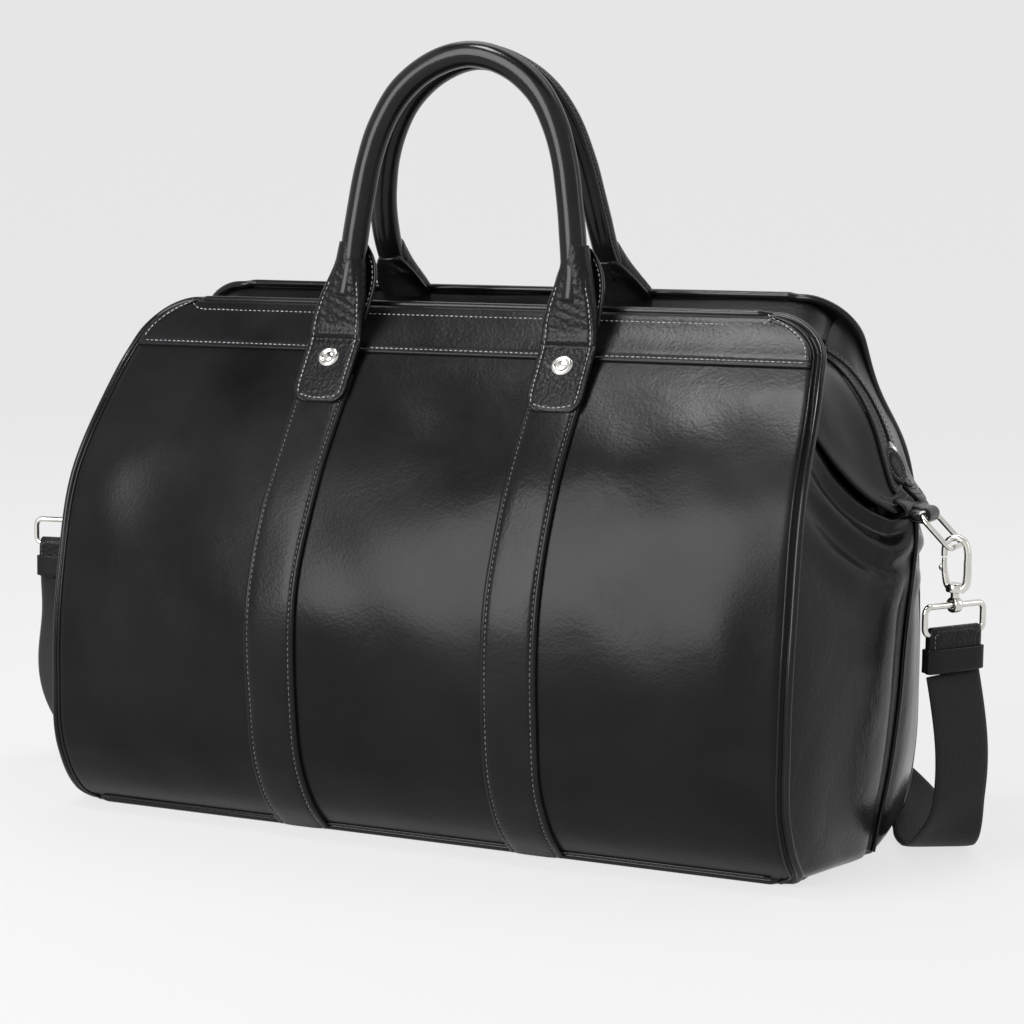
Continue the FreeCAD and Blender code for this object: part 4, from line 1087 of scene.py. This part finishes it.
def wall_surface(a, k):
    """The lower end wall: a runs from the panel's seam to the middle, k from floor to fold."""
    def low(a):
        a = np.asarray(a, float)
        x = 220 + 11 * np.sin(a * math.pi / 2)
        return np.stack([x, 87.5 * (1 - a), WALL_FOOT + 0 * a], axis=-1)

    def high(a):
        a = np.asarray(a, float)
        p = fold_line(a)
        p[..., 0] -= 3.0 + 3.5 * np.sin(math.pi * np.clip(a, 0, 1))
        p[..., 2] -= 4.0
        return p

    def left(k):
        p = edge_spot(WALL_FOOT + (EAR_RISE - WALL_FOOT) * k)
        p[..., 2] -= 3.5 * k
        return p

    def right(k):
        z = WALL_FOOT + (191.0 - WALL_FOOT) * k
        return np.stack([CENTRE_X(z) - 2.0 * k**8, 0 * z, z], axis=-1)

    p = patch(low, high, left, right, a, k)
    swell = np.sin(math.pi * np.clip(a, 0, 1) ** 0.8) * np.sin(math.pi * k**0.7)
    p[..., 0] += 4.5 * swell
    # Pleats that hang from the ear's fold and die away down the wall.
    for at, width, deep, slope in PLEATS:
        centre = at + slope * (1 - a)
        fade = np.sin(math.pi * np.clip(a, 0, 1)) ** 0.7
        p[..., 0] += deep * np.exp(-(((k - centre) / width) ** 2)) * fade
    # Upright waves in the lower half, and a shallow hollow beside the middle seam.
    p[..., 0] += 0.45 * np.sin(9 * a + 2 * k) * ease((0.75 - k) / 0.5) * np.sin(math.pi * a)
    p[..., 0] -= 1.6 * np.exp(-(((a - 0.93) / 0.05) ** 2)) * ease((0.9 - k) / 0.2)
    return p


_zip_points = smooth_points([(x, 0.0, z) for x, z in ZIP_END], 60)


def zip_line(k, y):
    p = read_off(np.asarray(k, float), np.linspace(0, 1, 60), _zip_points)
    p[..., 1] = y
    return p


def ear_surface(a, k):
    """The ear: a runs from the panel's seam to the zip, k from the fold up to the top corner."""
    def low(a):
        p = fold_line(a)
        p[..., 1] = p[..., 1] + 2.8 * np.asarray(a) ** 6
        return p

    def high(a):
        a = np.asarray(a, float)
        start, end = edge_spot(EAR_TOP_Z), zip_line(1.0, 2.8)
        p = start + (end - start) * a[..., None]
        p[..., 0] -= 4.5 * np.clip(np.sin(math.pi * a), 0, 1) ** 0.5
        p[..., 2] -= 0.8 * np.sin(math.pi * a)
        return p

    def left(k):
        return edge_spot(EAR_RISE + (EAR_TOP_Z - EAR_RISE) * np.asarray(k, float))

    def right(k):
        return zip_line(k, 2.8)

    p = patch(low, high, left, right, a, k)
    crown = np.sin(math.pi * np.clip(a, 0, 1)) * np.sin(math.pi * np.clip(k, 0, 1))
    p[..., 0] += 2.6 * crown
    p[..., 2] += 1.4 * crown
    p[..., 0] += 0.8 * np.sin(5 * a + 6 * k) * crown
    return p


def placed(p, end, side):
    return lean_back(p * [end, side, 1.0])


def surface_normal(surface, a, k, end, side):
    e = 1e-3
    a2, k2 = np.clip(a, e, 1 - e), np.clip(k, e, 1 - e)
    da = surface(a2 + e, k2) - surface(a2 - e, k2)
    dk = surface(a2, k2 + e) - surface(a2, k2 - e)
    n = unit_rows(np.cross(da, dk))
    n = n * np.where(n[..., 0:1] < 0, -1.0, 1.0)
    return n * [end, side, 1.0]


def plate_of(build, surface, a, k, end, side, lift=0.0, thick=1.9):
    p = placed(surface(a, k), end, side)
    n = surface_normal(surface, a, k, end, side)
    outer, inner = (p + n * lift) * MM, (p + n * (lift - thick)) * MM
    if end * side > 0:
        outer, inner = outer[:, ::-1], inner[:, ::-1]
    build.plate(outer, inner)


def narrowed(a, k):
    """The strip beside the zip is narrower at its low end."""
    return 1 - (1 - a) * (1.0 - 0.35 * (1 - k))


def sheet_grid(k, a):
    k, a = np.meshgrid(np.linspace(*k), np.linspace(*a), indexing="ij")
    return a, k


def sew_ear(threads, a, k, lift, end, side, sizes):
    p = placed(ear_surface(a, k), end, side)
    n = surface_normal(ear_surface, a, k, end, side)
    threads.stitches((p + n * lift) * MM, n, *(size * MM for size in sizes))


def make_end(end, side):
    """A quarter of the bag's ends: half an end wall, its ear, and the strip beside the zip."""
    which = {1: "right", -1: "left"}[end]
    name = f"{SIDES[side]}_{which}"
    wall, ear, band, threads = Build(), Build(), Build(), Build()
    plate_of(wall, wall_surface, *sheet_grid((0, 1, 90), (0, 1, 44)), end, side)
    plate_of(ear, ear_surface, *sheet_grid((0, 1, 40), (0, 1, 44)), end, side)
    # A doubled strip beside the zip, sewn with two rows.
    a, k = sheet_grid((0.10, 0.995, 46), (0.80, 0.985, 9))
    plate_of(band, ear_surface, narrowed(a, k), k, end, side, 1.3, 1.5)
    k = np.linspace(0.12, 0.97, 70)
    for share in (0.835, 0.955):
        sew_ear(threads, narrowed(share, k), k, 1.25, end, side, (2.8, 1.9, 0.28))
    # Two rows along the ear's end, beside its fold.
    a = np.linspace(0.70, 0.985, 30)
    for k in (0.045, 0.085):
        sew_ear(threads, a, np.full(30, k), 0.1, end, side, (2.6, 1.9, 0.3))
    thing = wall.object(f"end_wall_{name}", HIDE_END)
    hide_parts(f"gusset_{which}")
    bend_with_frame(thing)
    thing = ear.object(f"ear_{name}", HIDE)
    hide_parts(f"{SIDES[side]}_ear_{which}")
    bend_with_frame(thing)
    bend_with_frame(band.object(f"zip_band_{name}", STRAP_HIDE))
    bend_with_frame(threads.object(f"ear_stitches_{name}", DARK_THREAD))


def make_ends():
    for side in (-1, 1):
        for end in (-1, 1):
            make_end(end, side)
    # The seam down the middle of each end wall, and the oval patch at each end of the zip.
    seams, ovals, oval_threads = Build(), Build(), Build()
    for end in (-1, 1):
        k = np.linspace(0.005, 0.97, 90)
        p = placed(wall_surface(np.ones(90), k), end, 1)
        p[:, 0] += end * 0.5
        seams.tube(p * MM, 1.25 * MM, 8)
        centre = np.array([end * 237.6, -3.5, 212.0])
        up = unit_rows(np.array([end * -0.43, 0, 0.90]))
        out = unit_rows(np.array([end * 0.80, -0.46, 0.38]))
        wide = np.cross(up, out)
        r = np.array([0.02, 0.35, 0.6, 0.68, 0.74, 0.82, 0.94, 1.0, 1.0])
        h = np.array([2.5, 2.5, 2.4, 2.15, 2.0, 2.3, 2.1, 1.5, 0.0])
        turn = np.linspace(0, 2 * math.pi, 41)[:-1]
        ring = (
            centre
            + wide * (6.2 * r[:, None] * np.sin(turn))[..., None]
            + up * (10.5 * r[:, None] * np.cos(turn))[..., None]
            + out * (h[:, None] + 0 * turn)[..., None]
        )
        ovals.grid(ring[::-1] * MM, around=True, caps=True)
        turn = np.linspace(0, 2 * math.pi, 60)
        row = centre + wide * (4.5 * np.sin(turn))[:, None] + up * (7.7 * np.cos(turn))[:, None]
        facing = np.broadcast_to(out, row.shape)
        oval_threads.stitches((row + out * 2.15) * MM, facing, 2.2 * MM, 1.6 * MM, 0.3 * MM)
    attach(seams.object("end_seams", CORD_HIDE), "bag")
    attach(ovals.object("zip_end_patches", STRAP_HIDE), "bag")
    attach(oval_threads.object("zip_end_stitches", DARK_THREAD), "bag")


make_ends()


def flat_section(width, thick, count=9):
    """A rounded flat cross-section as (across, outward) points."""
    turn = np.linspace(0, 2 * math.pi, 4 * count + 1)[:-1]
    return squircle(width / 2, thick / 2, 5.0, turn)


PAD_LINE = [(238, 196.5), (244, 194.6), (249.3, 191.6), (250.3, 189.4), (247.5, 187.8), (240, 187.6)]


def make_ring_loops():
    """The padded tab under each ear's end and the leather loop that holds the oval ring."""
    tabs, loops, threads = Build(), Build(), Build()
    bar_x, bar_z = 256.0, 187.0
    for end in (-1, 1):
        turn = np.radians(np.linspace(100, -95, 16))
        line = [(243.5, 193.0), (248, 192.0), (252, 191.4)]
        line += [(bar_x + 3.5 * math.cos(t), bar_z + 3.5 * math.sin(t)) for t in turn]
        line += [(251.5, 184.0), (246.5, 186.0)]
        path = smooth_points([(end * x, 0.0, z) for x, z in line], 60)
        loops.sweep(path * MM, flat_section(19, 1.9) * MM, (0, 1, 0))
        across = np.linspace(-7.5, 7.5, 12)
        row = np.stack([np.full(12, end * 251.2), across, np.full(12, 192.35)], axis=1)
        facing = np.broadcast_to([end * 0.2, 0, 1.0], row.shape)
        threads.stitches(row * MM, facing, 2.4 * MM, 1.7 * MM, 0.3 * MM)
        path = smooth_points([(end * x, 0.0, z) for x, z in PAD_LINE], 40)
        wide = np.interp(np.linspace(0, 1, 40), [0, 0.3, 0.6, 1], [30, 40, 42, 36])
        tabs.sweep(path * MM, np.array([flat_section(w, 2.6) for w in wide]) * MM, (0, 1, 0))
    tab = tabs.object("ear_end_pads", HIDE)
    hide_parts("ear_tabs")
    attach(tab, "bag")
    loop = loops.object("oval_ring_loops", STRAP_HIDE)
    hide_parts("ring_loops")
    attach(loop, "bag")
    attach(threads.object("ring_loop_stitches", DARK_THREAD), "bag")


make_ring_loops()

# ---- base, lining and the mouth ---------------------------------------------------------------
def make_base():
    """The base sheet with its turned and sewn edge."""
    half_x, half_y, corner = 217.5, 85.5, 12.0
    turn = np.radians(np.linspace(0, 90, 9))
    outline = []
    for cx, cy, spin in ((1, 1, 0), (-1, 1, 90), (-1, -1, 180), (1, -1, 270)):
        for t in turn:
            a = t + math.radians(spin)
            x = cx * (half_x - corner) + corner * math.cos(a)
            outline.append((x, cy * (half_y - corner) + corner * math.sin(a)))
    outline = np.array(outline)
    edge = [
        (0.05, 0.0), (0.6, 0.0), (0.97, 0.0), (0.985, 0.5), (1.0, 1.4), (1.0, 2.2), (0.985, 3.0),
        (0.6, 3.0), (0.05, 3.0),
    ]
    rings = [[(x * shrink, y * shrink, z) for x, y in outline] for shrink, z in edge]
    build, threads = Build(), Build()
    build.grid(np.array(rings) * MM, around=True, caps=True)
    base = build.object("base_sheet", STRAP_HIDE)
    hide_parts("base_panel")
    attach(base, "bag")
    closed = np.concatenate([outline, outline[:1]])
    row = np.concatenate([closed * [0.955, 0.91], np.full((len(closed), 1), 0.25)], axis=1)
    facing = np.broadcast_to([0, 0, -1.0], row.shape)
    threads.stitches(row * MM, facing, 3.4 * MM, 2.4 * MM, 0.22 * MM)
    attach(threads.object("base_stitches", DARK_THREAD), "bag")


def make_lining(side):
    """Half of a loose cloth bucket inside the walls, gathered a little, hemmed at its top."""
    def row(z, inset):
        x = np.linspace(-208, 208, 60)
        half_y = EDGE_Y(z) - inset
        bulge = np.clip(1 - np.abs(x / 216) ** 2.3, 0, 1) * BULGE(z) * 0.8
        wave = 0.9 * np.sin(x / 17 + z / 40) + 0.6 * np.sin(x / 7.3 - z / 23)
        long = np.stack([x, half_y + bulge - wave, np.full(60, z)], axis=1)
        turn = np.linspace(1, 0, 14)[1:]
        # The ends are drawn in near the top, where the walls are folded.
        reach = CENTRE_X(z) - inset - 210 - 15 * float(ease((z - 110) / 60))
        end_x = 208 + reach * (1 - turn**2) + 0.8 * np.sin(turn * 19)
        right = np.stack([end_x, half_y * turn, np.full(13, z)], axis=1)
        left = right[::-1] * [-1, 1, 1]
        return np.concatenate([left, long, right]) * [1, side, 1]

    heights = np.linspace(24, 186, 30)
    outer = [row(7.0, 24.0) * [1, 0, 1], row(7.0, 24.0), row(9.0, 15.0)]
    outer += [row(z, 7.0) for z in heights] + [row(188.8, 7.2)]
    inner = [row(8.0, 24.6) * [1, 0, 1], row(8.0, 24.6), row(9.9, 16.4)]
    inner += [row(z, 8.4) for z in heights] + [row(188.6, 8.9)]
    outer, inner = np.array(outer) * MM, np.array(inner) * MM
    if side < 0:
        outer, inner = outer[:, ::-1], inner[:, ::-1]
    build = Build()
    build.plate(outer[::-1], inner[::-1])
    lining = build.object(f"{SIDES[side]}_cloth_lining", LINING)
    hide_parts("lining")
    bend_with_frame(lining)


def facing_wave(x, share):
    return 0.35 * np.sin(x / 19 + 3 * share)


# Half outline of one zip tooth: place along the zip, distance from its middle, half height.
TOOTH = [
    (-0.8, 0.2, 1.1), (0.8, 0.2, 1.1), (0.62, 1.5, 0.95), (0.62, 3.0, 1.15), (-0.62, 3.0, 1.15),
    (-0.62, 1.5, 0.95),
]
TOOTH_PITCH = 2.6


def make_mouth(side):
    """What turns in from one top edge: the facing, its half of the zip tape, and the teeth."""
    name = SIDES[side]
    u = np.linspace(0, 1, 12)
    x = np.linspace(-196, 196, 90)
    y = 29.2 - 21.2 * u
    z = 289.2 - 14.2 * u**1.25 - 1.5 * np.sin(math.pi * u)
    outer = np.array(
        [[(a, side * b, c + facing_wave(a, d)) for a in x] for b, c, d in zip(y, z, u)]
    )
    # Its outer edge goes down with the rounded corners of the panel.
    past = np.clip(np.abs(x) - (204 - TOP_CORNER), 0, TOP_CORNER - 4)
    drop = TOP_CORNER - np.sqrt(TOP_CORNER**2 - past**2) + 0.06 * past
    outer[..., 2] -= drop[None, :] * (1 - u[:, None]) ** 0.7
    outer = lean_back(outer)
    inner = outer - np.array([0, 0, 1.5])
    build, threads, tape, teeth = Build(), Build(), Build(), Build()
    if side > 0:
        outer, inner = outer[:, ::-1], inner[:, ::-1]
    build.plate(outer * MM, inner * MM)
    facing = build.object(f"{name}_turned_facing", STRAP_HIDE)
    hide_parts(f"{name}_facing")
    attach(facing, FRAMES[side])
    for share in (0.78, 0.93):
        along_x = x[2:-2]
        row = np.zeros((len(along_x), 3))
        row[:, 0] = along_x
        row[:, 1] = side * np.interp(share, u, y)
        row[:, 2] = np.interp(share, u, z) + 0.1 + facing_wave(along_x, share)
        up = np.broadcast_to([0, 0, 1.0], row.shape)
        threads.stitches(lean_back(row) * MM, up, 3.0 * MM, 2.0 * MM, 0.3 * MM)
    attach(threads.object(f"{name}_facing_stitches", DARK_THREAD), FRAMES[side])
    # The zip runs level between the facings and down over both ears.
    level = np.stack([np.linspace(-190, 190, 80), np.zeros(80), np.full(80, 269.3)], axis=1)
    ear = zip_line(np.linspace(0.93, 0.14, 40), 0.0)
    normal_ear = unit_rows(np.cross(np.gradient(ear, axis=0), np.array([0, 1.0, 0])))
    normal_ear *= np.where(normal_ear[:, 0:1] < 0, -1, 1)
    ear = ear - normal_ear * 1.6
    whole = np.concatenate([(ear * [-1, 1, 1])[::-1], level, ear])
    whole = smooth_points(whole[::3], 420)
    across = np.array([0.0, 1.0, 0.0])
    path = whole + across * side * 8.0
    section = flat_section(11.0, 0.9, 5)
    tape.sweep(path * MM, section * MM, across)
    strip = tape.object(f"{name}_zip_cloth", TAPE)
    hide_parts(f"{name}_zip_tape")
    bend_with_frame(strip)
    reach = reach_of(whole)
    # The two sides' teeth stand half a pitch apart.
    spots = np.arange(3 + (TOOTH_PITCH / 2 if side > 0 else 0), reach[-1] - 3, TOOTH_PITCH)
    at = read_off(spots, reach, whole)
    along = unit_rows(read_off(spots + 0.5, reach, whole) - at)
    for c, a, n in zip(at, along, np.cross(along, across)):
        top = [c + a * s + across * side * d + n * h for s, d, h in TOOTH]
        low = [c + a * s + across * side * d - n * h for s, d, h in TOOTH]
        teeth.grid(np.array([low, top]) * MM, around=True, caps=True)
    row = teeth.object(f"{name}_teeth", ZIP_METAL, smooth=False)
    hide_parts(f"{name}_zip_teeth")
    bend_with_frame(row)


make_base()
for side in (-1, 1):
    make_lining(side)
    make_mouth(side)

# ---- shoulder strap ends and hooks ------------------------------------------------------------
HOOK_JOINTS = {j["name"]: j for j in frame["record"]["behaviour"]["joints"]}


def hook_frame(which):
    joint = HOOK_JOINTS[f"hook_{which}_swivel"]
    origin = np.array(joint["pos_m"]) / MM
    up = unit_rows(np.array(joint["axis"], float))
    across = np.cross(np.array([0, 1.0, 0]), up)
    return origin, across, up


def strap_bar(which):
    """The level direction along the strap's width at one end, and the way that it faces."""
    turned = math.radians({"right": STRAP_TURN_RIGHT, "left": STRAP_TURN_LEFT}[which])
    c, s = math.cos(turned), math.sin(turned)
    return np.array([c, s, 0]), np.array([-s, c, 0])


CLAW_LINE = [
    (3.0, 8.0), (5.6, 10.5), (6.3, 15), (6.3, 22), (6.2, 28.5), (4.6, 33.4), (1.2, 35.75),
    (-2.6, 35.2), (-5.6, 32.2), (-6.25, 28.6), (-6.2, 25.8),
]


def nickel_part(build, name, replaced, body):
    part = soften(build.object(name, NICKEL), 50)
    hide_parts(replaced)
    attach(part, body)
    return part


def make_hook(which):
    """A cast trigger hook: a tapered claw, its sprung lever and the barrel of its swivel."""
    origin, across, up = hook_frame(which)

    def at(x, z):
        return origin + across * x + up * z

    path = smooth_points([at(x, z) for x, z in CLAW_LINE], 70)
    fat = np.interp(np.linspace(0, 1, 70), [0, 0.1, 0.5, 0.8, 1.0], [2.3, 2.1, 1.75, 1.75, 1.6])
    body, lever, swivel = Build(), Build(), Build()
    turn = np.linspace(0, 2 * math.pi, 21)[:-1]
    sections = np.array([squircle(f * 1.45, f, 2.6, turn) for f in fat])
    body.sweep(path * MM, sections * MM, (0, 1, 0))
    collar = [(6.6, 2.6), (6.9, 4.6), (7.6, 5.0), (10.4, 5.0), (11.2, 4.4), (11.8, 2.6)]
    body.lathe([(h * MM, r * MM) for h, r in collar], origin * MM, Vector(up), 28)
    hook = nickel_part(body, f"claw_{which}", f"snap_hook_{which}", f"hook_{which}")
    blade = [(-6.2, 25.0), (-6.15, 20), (-5.4, 14.5), (-4.3, 10.6), (-3.4, 9.4)]
    path = smooth_points([at(x, z) for x, z in blade], 30)
    fat = np.interp(np.linspace(0, 1, 30), [0, 0.3, 1.0], [1.35, 1.6, 2.0])
    sections = np.array([squircle(f * 1.3, f * 0.9, 2.6, turn) for f in fat])
    lever.sweep(path * MM, sections * MM, (0, 1, 0))
    knob = [(-1.2, 0.4), (-1.0, 1.4), (0.0, 1.9), (1.0, 1.4), (1.2, 0.4)]
    lever.lathe([(h * MM, r * MM) for h, r in knob], at(-7.4, 19.5) * MM, Vector((0, 1, 0)), 20)
    gate = nickel_part(lever, f"lever_{which}", f"hook_gate_{which}", f"gate_{which}")
    stem = [(3.6, 1.4), (3.8, 2.3), (6.2, 2.3), (6.5, 1.9), (7.2, 1.9)]
    swivel.lathe([(h * MM, r * MM) for h, r in stem], origin * MM, Vector(up), 24)
    bar, face = strap_bar(which)
    loop = np.linspace(0, 2 * math.pi, 33)[:-1]
    ring = np.array([origin + (face * math.cos(a) + UP * math.sin(a)) * 3.2 for a in loop])
    closed = np.concatenate([ring, ring[:2]])
    swivel.sweep(closed * MM, squircle(2.6, 1.15, 3.0, turn) * MM, bar)
    eye = nickel_part(swivel, f"swivel_{which}", f"hook_swivel_{which}", "bag")
    return hook, gate, eye


# Stitch rows on a strap end, each from one (across, up) spot to another.
TONGUE_ROWS = [((-16.5, -19), (-16.5, 0.5)), ((16.5, -19), (16.5, 0.5)), ((-16.5, 0.2), (16.5, 0.2))]


def make_strap_end(which):
    """The leather tongue that is folded round the ring's lower bar, sewn to the webbing."""
    origin, _, _ = hook_frame(which)
    bar, face = strap_bar(which)
    centre = origin - UP * 15.0
    tongue, band, threads = Build(), Build(), Build()
    heights = np.array([-21.0, -20.6, -19.5, -12, -5, -2, 0, 1.6, 2.9, 3.7, 4.0])
    thick = np.array([4.4, 5.6, 6.0, 6.0, 6.3, 7.0, 7.4, 7.0, 5.4, 3.2, 1.0])
    wide = np.array([36.6, 37.6, 38, 38, 38, 37.6, 37, 36.6, 36, 35, 34])
    grid = []
    for z in np.interp(np.linspace(0, 1, 40), np.linspace(0, 1, len(heights)), heights):
        section = flat_section(np.interp(z, heights, wide), np.interp(z, heights, thick), 12)
        grid.append(centre + UP * z + bar * section[:, 0:1] + face * section[:, 1:2])
    tongue.grid(np.array(grid) * MM, around=True, caps=True)
    for flip in (-1, 1):
        for start, end in TONGUE_ROWS:
            row = np.linspace(start, end, 16) @ np.array([bar, UP]) + centre + face * flip * 3.15
            facing = np.broadcast_to(face * flip, row.shape)
            threads.stitches(row * MM, facing, 2.6 * MM, 1.8 * MM, 0.26 * MM)
    outline = flat_section(40.6, 8.6, 12)
    inside = flat_section(38.6, 6.6, 12)
    keeper_rows = [(-20.0, inside, 0), (-20.0, outline, 0), (-19.4, outline, 0.5)]
    keeper_rows += [(-18, outline, 0.35), (-9.2, outline, 0.35), (-8.2, outline, 0.5)]
    keeper_rows += [(-7.6, outline, 0), (-7.6, inside, 0)]
    rings = []
    for z, shape, grow in keeper_rows:
        wide, thick = shape[:, 0:1] * (1 + grow / 60), shape[:, 1:2] * (1 + grow / 20)
        rings.append(centre + UP * z + bar * wide + face * thick)
    rings.append(rings[0])
    band.grid(np.array(rings) * MM, around=True)
    piece = tongue.object(f"strap_tongue_{which}", PEBBLE_HIDE)
    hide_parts(f"strap_end_{which}")
    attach(piece, "bag")
    keeper = band.object(f"keeper_band_{which}", STRAP_HIDE)
    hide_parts("strap_keepers")
    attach(keeper, "bag")
    sewing = threads.object(f"strap_tongue_stitches_{which}", DARK_THREAD)
    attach(sewing, "bag")
    return piece, keeper, sewing


on_strap = []
for which in ("right", "left"):
    on_strap += make_hook(which)
    on_strap += make_strap_end(which)

# ---- floor, light and finish ----------------------------------------------------------------
CAD_LOOKS = {
    "oval_ring_left": NICKEL, "oval_ring_right": NICKEL,
    "strap_ring_left": NICKEL, "strap_ring_right": NICKEL, "strap_adjuster": NICKEL,
    "front_stay": STEEL, "back_stay": STEEL, "frame_pivots": STEEL, "base_board": BOARD,
    "zip_slider": ZIP_METAL, "zip_pull": STRAP_HIDE,
}


for node, material in CAD_LOOKS.items():
    thing = frame["nodes"][node]
    thing.data.materials.clear()
    thing.data.materials.append(material)


def make_stage():
    """One plain pale sheet all round: a flat floor that curves up into a wall on every side."""
    flat, bend, top = 2.4, 1.5, 5
    profile = [(0.01, 0), (1.2, 0), (flat, 0)]
    for a in np.linspace(0.1, math.pi / 2, 14):
        profile.append((flat + bend * math.sin(a), bend - bend * math.cos(a)))
    profile.append((flat + bend, top))
    turns = np.linspace(0, 2 * math.pi, 97)
    build = Build()
    rings = [[(r * math.cos(a), r * math.sin(a), z) for a in turns] for r, z in profile]
    build.grid(np.array(rings))
    paper = Paint("paper", (0.12, 0.12, 0.121), 0.9, specular=0.1)
    paper.set(paper.shader, Emission_Color=(1, 1, 1, 1), Emission_Strength=0.7)
    build.object("paper_sweep", paper.material)


def area_light(name, at, to, size, power):
    lamp = bpy.data.lights.new(name, "AREA")
    lamp.shape = "RECTANGLE"
    lamp.size, lamp.size_y = size
    lamp.energy = power
    thing = bpy.data.objects.new(name, lamp)
    bpy.context.scene.collection.objects.link(thing)
    thing.location = at
    thing.rotation_euler = (Vector(to) - Vector(at)).to_track_quat("-Z", "Y").to_euler()


make_stage()
world = bpy.data.worlds.new("studio")
world.use_nodes = True
world.node_tree.nodes["Background"].inputs["Color"].default_value = (1, 1, 1, 1)
world.node_tree.nodes["Background"].inputs["Strength"].default_value = 0.04
bpy.context.scene.world = world
area_light("tall_left", (-0.45, -1.48, 0.85), (0.1, 0, 0.15), (0.9, 1.35), 34)
area_light("high_left", (-0.30, -0.50, 1.75), (0.18, 0, 0.26), (0.40, 0.30), 12)
area_light("top_back", (0.1, 0.75, 2.1), (0, 0, 0), (2.6, 1.1), 24)
area_light("right", (1.9, 0.7, 0.8), (0.2, 0, 0.15), (0.3, 0.9), 3.5)
bpy.context.scene.view_settings.view_transform = "Standard"
